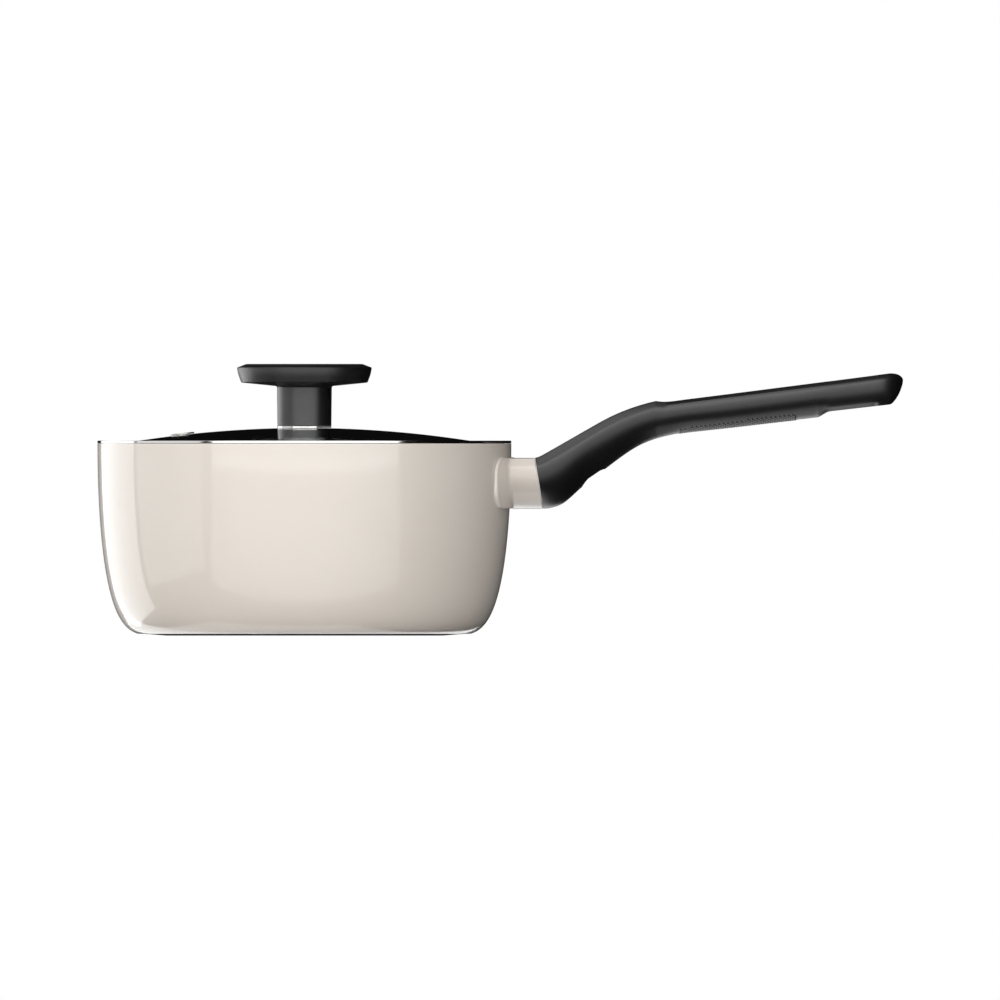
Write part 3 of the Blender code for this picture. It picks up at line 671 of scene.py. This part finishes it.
stretches = [np.linspace(start, end, count, endpoint=False) for start, end, count in STRETCHES]
stations = np.concatenate(stretches)
tip = TIP_START + (HANDLE_END - TIP_START) * np.sin(np.linspace(0, math.pi / 2, TIP_ROWS))
x = np.concatenate([stations, tip])
forward = 1 - np.clip((x - STRETCHES[0][0]) / FRONT_LEAN_LENGTH, 0, 1)
low_x = x + FRONT_LEAN * forward**2
high = through(TOP_LINE, x) - nose(x, *TOP_NOSE)
low = through(BOTTOM_LINE, low_x) + nose(x, *BOTTOM_NOSE)
thickness = np.maximum(high - low, 1e-6)
plan = 1 - nose(x, HANDLE_END - TIP_START, 1.0, TIP_ROUNDING_POWER)
side = np.maximum(through(WIDTH_LINE, x) * plan, 1e-6)
drop = np.minimum(through(CHAMFER_DROP, x), 0.6 * through(BELLY_SHARE, x) * thickness)
top_half = side * 0.965 - np.minimum(CHAMFER_IN, 0.4 * side)
edge = np.minimum(0.0004, 0.05 * side)[:, None]
half = section(
    top_half,
    side,
    drop,
    thickness,
    through(BELLY_SHARE, x),
    through(UNDERSIDE_POWER, x),
    edge,
    np.minimum(0.0002, 0.02 * side),
)
outline = both_sides(half).transpose(1, 0, 2)

# Round the slot the sides stay fuller: the underside follows a deeper superellipse that is
# cut off flat. Each side also has a flat bevel along the bottom, which ends before the tip.
out, down = outline[..., 0], outline[..., 1]
belly = through(BELLY_SHARE, x)[:, None]
power = through(UNDERSIDE_POWER, x)[:, None]
below_belly = np.clip((down / thickness[:, None] - belly) / (1 - belly), 0, 1)
fuller = side[:, None] * (1 - (below_belly / LOOP_DEPTH) ** power) ** (1 / power)
above = thickness[:, None] - down
corner_share = 1 - LOOP_BEVEL_HEIGHT / (thickness[:, None] * (1 - belly))
corner_out = side[:, None] * (1 - (np.clip(corner_share, 0, 1) / LOOP_DEPTH) ** power) ** (1 / power)
line = corner_out + (above - LOOP_BEVEL_HEIGHT) * math.tan(LOOP_BEVEL_SLOPE)
in_loop = np.clip((x - LOOP_START) / LOOP_BLEND, 0, 1)[:, None]
in_loop = in_loop**2 * (3 - 2 * in_loop)
bevelled = in_loop * np.clip((LOOP_END - x) / 0.0006, 0, 1)[:, None]
drawn = fuller + (np.minimum(fuller, line) - fuller) * bevelled
drawn = np.where((below_belly > 0) & (np.abs(out) > 1e-9), drawn, np.abs(out))
out = np.sign(out) * (np.abs(out) + (drawn - np.abs(out)) * in_loop)

share = down / thickness[:, None]
points = np.stack([x[:, None] + (low_x - x)[:, None] * share, out, high[:, None] - down], -1)
along_step = np.gradient(points, axis=0)
across_step = np.roll(points, -1, 1) - np.roll(points, 1, 1)
facing = np.cross(along_step, across_step)
facing /= np.maximum(np.linalg.norm(facing, axis=-1, keepdims=True), 1e-12)
steps = np.linalg.norm(np.diff(points, axis=1, append=points[:, :1]), axis=-1)
girth = np.concatenate([np.zeros((len(x), 1)), np.cumsum(steps, axis=1)[:, :-1]], axis=1)
bottom_column = len(half) - 1
girth -= girth[:, bottom_column : bottom_column + 1]
points += facing * dots(points[..., 0], girth)[..., None]
front_middle = (points[0, 0] + points[0, bottom_column]) / 2
points = np.concatenate([np.broadcast_to(front_middle, points[:1].shape), points])
points[-1] = points[-1].mean(axis=0)
handle_mesh = skin("handle", points)

# Moulded phenolic with a satin spark-eroded texture: near black, a soft sheen broken up by
# a grain of about 0.2 mm, and faint cloudiness from the filler.
phenolic, shader, place = finish("satin_black_phenolic", {"IOR": 1.72})
cloud = noise(phenolic, place, 90.0, 4.0)
link(phenolic, between(phenolic, cloud, "#0A0A0B", "#101011"), shader.inputs["Base Color"])
grain = noise(phenolic, place, 2600.0, 2.0)
link(phenolic, ranged(phenolic, grain, 0.32, 0.40), shader.inputs["Roughness"])
relief(phenolic, shader, grain, 0.12, 0.00004)

handle = piece("handle_grip", handle_mesh, phenolic, crease=40)


def cut(obj, cutter_mesh, crease=40):
    """Takes a closed mesh's solid out of an object, and keeps the result as the object's plain mesh."""
    cutter = bpy.data.objects.new("cutter", cutter_mesh)
    bpy.context.scene.collection.objects.link(cutter)
    modifier = obj.modifiers.new("cut", "BOOLEAN")
    modifier.solver = "EXACT"
    modifier.object = cutter
    graph = bpy.context.evaluated_depsgraph_get()
    result = bpy.data.meshes.new_from_object(obj.evaluated_get(graph))
    obj.modifiers.remove(modifier)
    old = obj.data
    obj.data = result
    bpy.data.meshes.remove(old)
    bpy.data.objects.remove(cutter)
    result.shade_smooth()
    result.set_sharp_from_angle(angle=math.radians(crease))


SLOT_MIDDLE = 0.2440
SLOT_HALF_STRAIGHT = 0.0065
SLOT_RADIUS = 0.0055
SLOT_EASE = 0.0008
TANG_ROOT = np.array([0.1042, 0.0, 0.0669])
TANG_SLOPE = math.radians(34.2)
SCREW_ALONG_TANG = 0.0220
COUNTERBORE_RADIUS = 0.0065
COUNTERBORE_FLOOR = -0.0073
COUNTERBORE_MOUTH = -0.016

# The slot's cutter: a round-ended outline carried down through the handle, wider by a
# quarter circle's shortfall where it meets the top and the underside.
turns = np.linspace(0, 2 * math.pi, 96, endpoint=False)
depth = np.array([0.03, 0.15, 0.3, 0.5, 0.75, 1.0]) * SLOT_EASE
widening = SLOT_EASE - np.sqrt(SLOT_EASE**2 - (SLOT_EASE - depth) ** 2)
outside_rows = ((0.0030, 1.3 * SLOT_EASE), (0.0003, 1.3 * SLOT_EASE))
rows = [(1.0, 0.0, 0.0)]
rows += [(1.0, d, w) for d, w in outside_rows]
rows += [(1.0, -d, w) for d, w in zip(depth, widening)]
rows += [(0.0, d, w) for d, w in zip(depth[::-1], widening[::-1])]
rows += [(0.0, -d, w) for d, w in outside_rows[::-1]]
grid = []
for which, offset, wide in rows:
    radius = SLOT_RADIUS + wide
    sx = SLOT_MIDDLE + np.sign(np.cos(turns)) * SLOT_HALF_STRAIGHT + radius * np.cos(turns)
    sy = radius * np.sin(turns)
    surface = through(TOP_LINE, sx) if which else through(BOTTOM_LINE, sx)
    grid.append(np.stack([sx, sy, surface + offset], -1))
grid[0] = np.broadcast_to(grid[1].mean(0), grid[1].shape)
grid.append(np.broadcast_to(grid[-1].mean(0), grid[-1].shape))
cut(handle, skin("slot_cutter", np.array(grid)))

# The counterbore's cutter, square to the tang.
tang_x = (math.cos(TANG_SLOPE), 0.0, math.sin(TANG_SLOPE))
tang_z = (-math.sin(TANG_SLOPE), 0.0, math.cos(TANG_SLOPE))
screw_place = TANG_ROOT + np.array(tang_x) * SCREW_ALONG_TANG
bore = eased(
    (
        (0.0, COUNTERBORE_FLOOR),
        (COUNTERBORE_RADIUS, COUNTERBORE_FLOOR, 0.0004),
        (COUNTERBORE_RADIUS, COUNTERBORE_MOUTH),
        (0.0, COUNTERBORE_MOUTH),
    )
)


def on_tang(grid):
    """A grid made at the origin, moved to where the screw crosses the tang."""
    return placed(grid, screw_place, tang_x, (0.0, 1.0, 0.0), tang_z)


cut(handle, skin("counterbore_cutter", on_tang(turned(bore, 96))))
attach(handle, "pan")
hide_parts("handle")


# Handle screw and washer. A pan-head stainless screw with a cross drive, on a plain washer
# at the bottom of the counterbore.

SCREW_RADIUS = 0.0022
SCREW_HEAD_RADIUS = 0.0050
WASHER_TOP = COUNTERBORE_FLOOR - 0.00005
WASHER_THICKNESS = 0.0008
HEAD_TOP = WASHER_TOP - WASHER_THICKNESS - 0.00005
HEAD_HEIGHT = 0.0018
SCREW_END = 0.0022
DRIVE_TAPER = 0.62

washer_low = WASHER_TOP - WASHER_THICKNESS
corners = [(SCREW_RADIUS + 0.0004, WASHER_TOP, 0.0001), (SCREW_HEAD_RADIUS + 0.0006, WASHER_TOP, 0.00015)]
corners += [(SCREW_HEAD_RADIUS + 0.0006, washer_low, 0.00015), (SCREW_RADIUS + 0.0004, washer_low, 0.0001)]
washer = lathe("handle_washer", "handle_screw_washer", corners, hardware, 72, ring=True, move=on_tang)
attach(washer, "pan")
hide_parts("handle_screw_washer")

corners = [(0.0, SCREW_END), (SCREW_RADIUS, SCREW_END, 0.0003), (SCREW_RADIUS, HEAD_TOP)]
corners += [(SCREW_HEAD_RADIUS, HEAD_TOP, 0.0002), (SCREW_HEAD_RADIUS, HEAD_TOP - HEAD_HEIGHT, 0.0011)]
corners += [(0.0, HEAD_TOP - HEAD_HEIGHT)]
screw = lathe("handle_screw_head", "handle_screw", corners, hardware, 72, move=on_tang)


def cross_drive(mouth, floor, arm, width, taper):
    """Cutter of a cross recess: a plus sign's outline, drawn in by taper on its way to the floor."""
    quarter = np.array([(width, width), (width, arm), (-width, arm)])
    turns = [np.array(turn) for turn in ((1, 0, 0, 1), (0, 1, -1, 0), (-1, 0, 0, -1), (0, -1, 1, 0))]
    outline = np.concatenate([quarter @ turn.reshape(2, 2) for turn in turns])
    if mouth < floor:
        outline = outline[::-1]
    rows = [np.zeros_like(outline), outline, outline * taper, np.zeros_like(outline)]
    heights = (mouth, mouth, floor, floor)
    return np.array([np.column_stack([row, np.full(len(row), z)]) for row, z in zip(rows, heights)])


drive = cross_drive(HEAD_TOP - HEAD_HEIGHT - 0.0010, HEAD_TOP - 0.0006, 0.0030, 0.00055, DRIVE_TAPER)
cut(screw, skin("drive_cutter", on_tang(drive)))
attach(screw, "pan")
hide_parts("handle_screw")


# Lid glass. A dome of 4 mm tempered soda-lime glass, sagged over a mould and ground along
# its edge, with a hole for the knob and one for the steam vent.

GLASS_APEX = 0.09235
GLASS_CURVE = 0.480
GLASS_THICKNESS = 0.0040
GLASS_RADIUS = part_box("lid_glass")[1][0]
GLASS_EDGE_BULGE = 0.0010
KNOB_HOLE = 0.0045
VENT_X = -0.0542
VENT_HOLE = 0.0031
PARTING_X = VENT_X / 2
GLASS_ROWS = 40
GLASS_ROW_CROWDING = 1.3
GLASS_EDGE_POWER = 0.4
WELD = 0.000002

sphere_middle = np.array([0.0, 0.0, GLASS_APEX - GLASS_CURVE])
ground_radius = GLASS_RADIUS - GLASS_EDGE_BULGE


def on_dome(plan):
    """Points of the dome's top above points (x, y), on a sphere round the dome's middle."""
    rise = np.sqrt(GLASS_CURVE**2 - (plan**2).sum(-1))
    return np.concatenate([plan, (sphere_middle[2] + rise)[..., None]], -1)


def beneath(points, depth):
    """Points moved straight into the glass by depth, towards the dome's middle."""
    return sphere_middle + (points - sphere_middle) * (1 - depth / GLASS_CURVE)


def glass_patch(hole_x, hole, facing):
    """Half of the dome round one hole, as top and bottom rows from the outline to the hole.

    Rays leave the hole's middle towards the straight line halfway between the two holes,
    or else towards the dome's edge, and each row takes the same share of every ray.
    """
    half_gap = abs(PARTING_X - hole_x)
    reach = math.sqrt(ground_radius**2 - PARTING_X**2)
    widest = math.atan2(reach, half_gap)
    angle = np.concatenate(
        [
            np.linspace(-widest, widest, 64, endpoint=False),
            np.linspace(widest, 2 * math.pi - widest, 192, endpoint=False),
        ]
    )
    ray = np.stack([facing * np.cos(angle), np.sin(angle)], -1)
    on_line = np.arange(len(angle)) <= 64
    to_line = half_gap / np.where(on_line, np.cos(angle), 1.0)
    along = hole_x * ray[:, 0]
    to_edge = -along + np.sqrt(along**2 - hole_x**2 + ground_radius**2)
    far = np.where(on_line, to_line, to_edge)
    share = np.linspace(1, 0, GLASS_ROWS)[:, None] ** GLASS_ROW_CROWDING
    plan = np.array([hole_x, 0.0]) + (hole + (far - hole) * share)[..., None] * ray
    top = on_dome(plan)
    if facing > 0:
        top = top[:, ::-1]
    wall = np.stack([beneath(top[-1], GLASS_THICKNESS * step) for step in (0.05, 0.5, 0.95)])
    return np.concatenate([top, wall, beneath(top[::-1], GLASS_THICKNESS)])


glass = bmesh.new()
for hole_x, hole, facing in ((VENT_X, VENT_HOLE, 1), (0.0, KNOB_HOLE, -1)):
    patch = glass_patch(hole_x, hole, facing)
    glass.from_mesh(skin("patch", patch))
    rim_row = patch[0]
    keep = np.abs(np.hypot(rim_row[:, 0], rim_row[:, 1]) - ground_radius) < 1e-6
    first = int(np.flatnonzero(keep & ~np.roll(keep, 1))[0])
    circle = np.roll(rim_row, -first, 0)[: int(keep.sum())]
    t = np.linspace(0, 1, 9)[:, None, None]
    out = circle * np.array([1.0, 1.0, 0.0]) / ground_radius
    bulge = GLASS_EDGE_BULGE * (4 * t * (1 - t)) ** GLASS_EDGE_POWER
    edge = beneath(circle, GLASS_THICKNESS * t) + out * bulge
    glass.from_mesh(skin("edge", edge[::-1], around=False))
bmesh.ops.remove_doubles(glass, verts=glass.verts, dist=WELD)
bmesh.ops.recalc_face_normals(glass, faces=glass.faces)
glass_mesh = bpy.data.meshes.new("lid_glass")
glass.to_mesh(glass_mesh)
glass.free()

# Tempered glass: clear, barely green, with the long low waves that tempering leaves and
# the lightest film of handling, which shows only in reflections.
tempered, shader, place = finish(
    "clear_tempered_glass", {"IOR": 1.52, "Transmission Weight": 1.0, "Base Color": linear("#F7FBF9")}
)
film = noise(tempered, place, 45.0, 5.0)
haze = add(
    tempered, "MapRange", {"Value": film, "From Min": 0.45, "From Max": 0.8, "To Min": 0.0, "To Max": 0.03}
)
link(tempered, haze.outputs[0], shader.inputs["Roughness"])
relief(tempered, shader, noise(tempered, place, 22.0, 0.0), 0.05, 0.0002)

dome = piece("glass_dome", glass_mesh, tempered, crease=35)
dome.visible_shadow = False
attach(dome, "lid")
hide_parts("lid_glass")


# Lid band. A strip of stainless sheet rolled round the glass: a lip over it, a hemmed flange
# that rests on the pan's rim, a skirt down inside the wall, and a lip under the glass.

RIM_FLANGE_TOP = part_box("lid_rim")[1][2]
RIM_FLANGE_BOTTOM = RIM_TOP + 0.00005
FLANGE_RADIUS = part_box("lid_rim")[1][0]
BAND_OUTER = 0.0885
BAND_SHEET = 0.0007
BAND_LIP = 0.0850
BAND_BOTTOM = 0.0786


def glass_height(radius, below=0.0):
    """Height of the dome's sphere at this radius, on its top or a given depth inside it."""
    return sphere_middle[2] + math.sqrt((GLASS_CURVE - below) ** 2 - radius**2)


over = glass_height(BAND_LIP) + 0.0001
below = glass_height(BAND_LIP, GLASS_THICKNESS) - 0.0001
edge_radius = GLASS_RADIUS + 0.0002
corners = [(BAND_LIP, over + BAND_SHEET, 0.0002), (BAND_OUTER + 0.0003, RIM_FLANGE_TOP, 0.0010)]
corners += [(FLANGE_RADIUS, RIM_FLANGE_TOP, 0.00025), (FLANGE_RADIUS, RIM_FLANGE_BOTTOM, 0.00025)]
corners += [(BAND_OUTER, RIM_FLANGE_BOTTOM, 0.0005), (BAND_OUTER, BAND_BOTTOM, 0.0006)]
corners += [(BAND_LIP, below - BAND_SHEET, 0.0002), (BAND_LIP, below, 0.0002)]
edge_top = glass_height(edge_radius) + 0.0002
corners += [(edge_radius, below - 0.0004, 0.0004), (edge_radius, edge_top, 0.0004)]
corners += [(BAND_LIP, over, 0.0002)]

# Polished stainless sheet: a near mirror, with hairlines that run round the band.
polished, shader, place = finish("polished_stainless_band", {"Metallic": 1.0})
hairlines = add(
    polished,
    "TexWave",
    {"Vector": place, "Scale": 900.0, "Distortion": 3.0, "Detail": 3.0},
    wave_type="BANDS",
    bands_direction="Z",
)
shades = between(polished, hairlines.outputs["Fac"], "#CFCFCD", "#E2E1DF")
link(polished, shades, shader.inputs["Base Color"])
gloss = ranged(polished, hairlines.outputs["Fac"], 0.07, 0.13)
link(polished, gloss, shader.inputs["Roughness"])

band = lathe("lid_band", "lid_rim", corners, polished, ring=True, crease=45)
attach(band, "lid")
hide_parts("lid_rim")


# Steam vent. A stainless eyelet set through the glass, with its rolled flange on top and
# its other end rolled over a washer underneath.

VENT_SHEET = 0.0005
VENT_BORE = 0.0022
VENT_FLANGE = 0.0053
VENT_ROLL = 0.0045
VENT_WASHER_RADIUS = 0.0055

vent_under = -GLASS_THICKNESS - 0.0001
roll_top = vent_under - VENT_SHEET - 0.00005
tilt = math.asin(VENT_X / GLASS_CURVE)
vent_x = (math.cos(tilt), 0.0, -math.sin(tilt))
vent_z = (math.sin(tilt), 0.0, math.cos(tilt))
vent_place = (VENT_X, 0.0, glass_height(VENT_X))


def at_vent(grid):
    """A grid made at the origin, moved to the vent's hole and tilted with the dome."""
    return placed(grid, vent_place, vent_x, (0.0, 1.0, 0.0), vent_z)


corners = [(VENT_BORE, 0.0008, 0.0005), (VENT_FLANGE, 0.0008, 0.0004), (VENT_FLANGE, 0.0001, 0.0002)]
corners += [(VENT_BORE + VENT_SHEET, 0.0001), (VENT_BORE + VENT_SHEET, roll_top)]
corners += [(VENT_ROLL, roll_top, 0.0002), (VENT_ROLL, roll_top - VENT_SHEET, 0.0002)]
corners += [(VENT_BORE, roll_top - VENT_SHEET, 0.0003)]
eyelet = lathe("vent_eyelet_roll", "vent_eyelet", corners, hardware, 72, ring=True, move=at_vent)
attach(eyelet, "lid")
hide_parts("vent_eyelet")

inner = VENT_BORE + VENT_SHEET + 0.0002
corners = [(inner, vent_under, 0.0001), (VENT_WASHER_RADIUS, vent_under, 0.0001)]
corners += [(VENT_WASHER_RADIUS, vent_under - VENT_SHEET, 0.0001), (inner, vent_under - VENT_SHEET, 0.0001)]
vent_ring = lathe("vent_ring", "vent_washer", corners, hardware, 72, ring=True, move=at_vent)
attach(vent_ring, "lid")
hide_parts("vent_washer")


# Knob. Turned-looking phenolic moulding like the handle: a flat disc top with a chamfer, a
# side drawn in below, and a straight stem that stands on the collar.

KNOB_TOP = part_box("knob")[1][2]
KNOB_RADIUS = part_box("knob")[1][0]
KNOB_FLAT = 0.0258
KNOB_EDGE = 0.1192
KNOB_BULGE_RADIUS = 0.02964
KNOB_BULGE = 0.1166
KNOB_LOW_RADIUS = 0.0281
KNOB_LOW = 0.1125
STEM_RADIUS = 0.0122
STEM_FOOT_RADIUS = 0.0120
STEM_TOP = 0.1109
STEM_BOTTOM = 0.0931
CORE_RADIUS = 0.0043
CORE_TOP = 0.1050

corners = [(0.0, KNOB_TOP), (KNOB_FLAT, KNOB_TOP, 0.0005), (KNOB_RADIUS, KNOB_EDGE, 0.00025)]
corners += [(KNOB_BULGE_RADIUS, KNOB_BULGE, 0.0019), (KNOB_LOW_RADIUS, KNOB_LOW, 0.0005)]
corners += [(STEM_RADIUS, STEM_TOP, 0.0008)]
corners += [(STEM_FOOT_RADIUS, STEM_BOTTOM, 0.0002), (CORE_RADIUS, STEM_BOTTOM)]
corners += [(CORE_RADIUS, CORE_TOP, 0.0003), (0.0, CORE_TOP)]
knob = lathe("knob_grip", "knob", corners, phenolic, 160)
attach(knob, "lid")
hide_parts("knob")

# Brass insert that is moulded into the stem and takes the screw's thread.
SHANK = 0.0022
INSERT_TOP = CORE_TOP - 0.0003
INSERT_LOW = STEM_BOTTOM + 0.0003
corners = [(0.0, INSERT_TOP), (CORE_RADIUS - 0.0001, INSERT_TOP, 0.0003)]
corners += [(CORE_RADIUS - 0.0001, INSERT_LOW, 0.0002), (SHANK + 0.0002, INSERT_LOW, 0.0002)]
corners += [(SHANK + 0.0002, INSERT_TOP - 0.0015), (0.0, INSERT_TOP - 0.0015)]
# Turned brass: a warm, slightly cloudy metal that shows only where the knob is cut open.
brass, shader, place = finish("turned_brass", {"Metallic": 1.0, "Roughness": 0.28})
tarnish = noise(brass, place, 800.0, 2.0)
link(brass, between(brass, tarnish, "#C29B4E", "#D9B567"), shader.inputs["Base Color"])
insert = lathe("threaded_insert", "knob_insert", corners, brass, 64)
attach(insert, "lid")
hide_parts("knob_insert")


# Knob collar. A thin polished steel ring between the stem's foot and the glass.

COLLAR_TOP = STEM_BOTTOM - 0.00005
COLLAR_BOTTOM = 0.0924
COLLAR_BORE = 0.0094
corners = [(COLLAR_BORE, COLLAR_TOP, 0.0001), (STEM_FOOT_RADIUS, COLLAR_TOP, 0.00012)]
corners += [(STEM_FOOT_RADIUS, COLLAR_BOTTOM, 0.00012), (COLLAR_BORE, COLLAR_BOTTOM, 0.0001)]
collar = lathe("steel_collar", "knob_collar", corners, polished, 128, ring=True)
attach(collar, "lid")
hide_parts("knob_collar")


# Gaskets. Two white silicone rings keep the collar and the washer off the glass. The lower
# one has a sleeve that lines the hole.

CLEAR = SHANK + 0.0007
SLEEVE = KNOB_HOLE - 0.0002
GASKET_RADIUS = 0.0090
GLASS_UNDER = GLASS_APEX - GLASS_THICKNESS

# White silicone: soft and milky, a little dusty, with light that bleeds under its surface.
silicone, shader, place = finish(
    "white_silicone", {"Roughness": 0.5, "IOR": 1.41, "Subsurface Weight": 0.15, "Subsurface Scale": 0.002}
)
dust = noise(silicone, place, 700.0, 3.0)
link(silicone, between(silicone, dust, "#DEDDD8", "#EDECE8"), shader.inputs["Base Color"])

UPPER_RADIUS = COLLAR_BORE - 0.0002
UPPER_LOW = GLASS_APEX + 0.00005
corners = [(CLEAR, COLLAR_TOP, 0.0001), (UPPER_RADIUS, COLLAR_TOP, 0.0001)]
corners += [(UPPER_RADIUS, UPPER_LOW, 0.0001), (CLEAR, UPPER_LOW, 0.0001)]
upper = lathe("upper_gasket_ring", "upper_gasket", corners, silicone, 96, ring=True)
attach(upper, "lid")
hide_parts("upper_gasket")

gasket_low = GLASS_UNDER - 0.0015
corners = [(CLEAR, GLASS_APEX - 0.0003, 0.0002), (SLEEVE, GLASS_APEX - 0.0003, 0.0002)]
corners += [(SLEEVE, GLASS_UNDER - 0.00015), (GASKET_RADIUS, GLASS_UNDER - 0.00015, 0.0003)]
corners += [(GASKET_RADIUS, gasket_low, 0.0003), (CLEAR, gasket_low, 0.0002)]
lower = lathe("lower_gasket_ring", "lower_gasket", corners, silicone, 96, ring=True)
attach(lower, "lid")
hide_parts("lower_gasket")


# Knob screw and washer. They clamp the knob from inside the lid.

KNOB_WASHER_RADIUS = 0.0100
KNOB_WASHER_THICKNESS = 0.0010
KNOB_HEAD_RADIUS = 0.0045

washer_top = gasket_low - 0.00025
washer_low = washer_top - KNOB_WASHER_THICKNESS
corners = [(CLEAR, washer_top, 0.0001), (KNOB_WASHER_RADIUS, washer_top, 0.0002)]
corners += [(KNOB_WASHER_RADIUS, washer_low, 0.0002), (CLEAR, washer_low, 0.0001)]
knob_washer = lathe("knob_clamp_washer", "knob_washer", corners, hardware, 96, ring=True)
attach(knob_washer, "lid")
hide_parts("knob_washer")

head_top = washer_low - 0.0001
head_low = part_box("knob_screw")[0][2]
corners = [(0.0, INSERT_TOP - 0.0018), (SHANK, INSERT_TOP - 0.0018, 0.0003), (SHANK, head_top)]
corners += [(KNOB_HEAD_RADIUS, head_top, 0.0002), (KNOB_HEAD_RADIUS, head_low, 0.0013), (0.0, head_low)]
knob_screw = lathe("knob_clamp_screw", "knob_screw", corners, hardware, 72)
drive = cross_drive(head_low - 0.0010, head_low + 0.0012, 0.0028, 0.0005, DRIVE_TAPER)
cut(knob_screw, skin("drive_cutter", drive))
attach(knob_screw, "lid")
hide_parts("knob_screw")


# Studio. A pale floor, two wide soft panels in front, one on the left, a strip behind on the
# left that edges the pan in white, and a light overhead. Cards that only glossy surfaces
# see draw the highlights along the handle and under it.

FLOOR_HALF = 3.0
DIFFUSE_SKY = 0.02
GLOSSY_SKY = 0.004
FRAME_WIDTH = 0.4446
FRAME_MIDDLE = (0.08696, 0.0603)


def area_light(name, position, target, width, height, radiance, card=False):
    """A soft panel of even radiance, facing its target. A card shows only in glossy surfaces."""
    data = bpy.data.lights.new(name, "AREA")
    data.shape = "RECTANGLE"
    data.size = width
    data.size_y = height
    data.energy = radiance * math.pi * width * height
    light = bpy.data.objects.new(name, data)
    light.location = position
    toward = np.array(target) - np.array(position)
    flat = math.hypot(toward[0], toward[1])
    light.rotation_euler = (math.atan2(flat, -toward[2]), 0.0, math.atan2(-toward[0], toward[1]))
    light.visible_camera = False
    light.visible_diffuse = not card
    bpy.context.scene.collection.objects.link(light)


CENTRE = (0.05, 0.0, 0.06)


def panel_place(turn, rise, distance=1.4):
    """Place at a distance from the centre, turned from the front towards +X and raised, in degrees."""
    turn, rise = math.radians(turn), math.radians(rise)
    level = distance * math.cos(rise)
    return (
        CENTRE[0] + level * math.sin(turn),
        CENTRE[1] - level * math.cos(turn),
        CENTRE[2] + distance * math.sin(rise),
    )


for name, turn, rise, width, height, radiance in (
    ("front_panel", 0, 15, 3.8, 0.85, 2.1),
    ("front_top_panel", 0, 48, 2.6, 0.9, 1.3),
    ("left_panel", -82, 10, 1.2, 1.4, 1.0),
    ("back_left_strip", -130, 0, 1.15, 1.4, 2.1),
    ("overhead", 0, 88, 1.4, 1.4, 0.57),
):
    area_light(name, panel_place(turn, rise), CENTRE, width, height, radiance)
area_light("front_low_card", panel_place(0, -18), CENTRE, 3.8, 0.88, 1.0, card=True)
area_light("high_left_card", (-0.62, 0.2, 1.25), CENTRE, 0.9, 0.9, 0.9, card=True)
area_light("back_low_card", (-0.31, 1.35, -0.8), (-0.31, 0.0, -0.8), 1.38, 1.0, 1.6, card=True)
area_light("under_card", (-0.275, 0.55, -1.3), (-0.275, 0.5501, 0.0), 1.45, 1.5, 1.1, card=True)

world = bpy.data.worlds.new("studio")
bpy.context.scene.world = world
world.use_nodes = True
seen = add(world, "LightPath", {}).outputs
soft = ranged(world, seen["Is Diffuse Ray"], GLOSSY_SKY, DIFFUSE_SKY)
level = ranged(world, seen["Is Camera Ray"], soft, 1.0)
background = world.node_tree.nodes["Background"].inputs
link(world, level, background["Strength"])
background["Color"].default_value = (1.0, 1.0, 1.0, 1.0)

# Pale matte floor: a light even grey, clear when seen from beneath so that the pan's
# underside shows.
pale, shader, place = finish("pale_matte_floor", {"Roughness": 0.6})
mottle = noise(pale, place, 6.0, 4.0)
link(pale, between(pale, mottle, "#C9C9C8", "#CECECD"), shader.inputs["Base Color"])
from_beneath = add(pale, "NewGeometry", {}).outputs["Backfacing"]
clear = add(pale, "BsdfTransparent", {}).outputs[0]
either = add(pale, "MixShader", {0: from_beneath, 1: shader.outputs[0], 2: clear})
link(pale, either.outputs[0], pale.node_tree.nodes["Material Output"].inputs["Surface"])

floor_grid = FLOOR_HALF * np.array([[(-1, -1, 0), (-1, 1, 0)], [(1, -1, 0), (1, 1, 0)]])
floor = piece("floor", skin("floor", floor_grid, around=False), pale)
floor.visible_glossy = False
floor.visible_shadow = False

camera = bpy.data.objects.new("camera", bpy.data.cameras.new("camera"))
camera.data.type = "ORTHO"
camera.data.ortho_scale = FRAME_WIDTH
camera.location = (FRAME_MIDDLE[0], -1.0, FRAME_MIDDLE[1])
camera.rotation_euler = (math.radians(90), 0.0, 0.0)
camera.data.clip_end = 20.0
bpy.context.scene.collection.objects.link(camera)
bpy.context.scene.camera = camera
bpy.context.scene.view_settings.view_transform = "Standard"
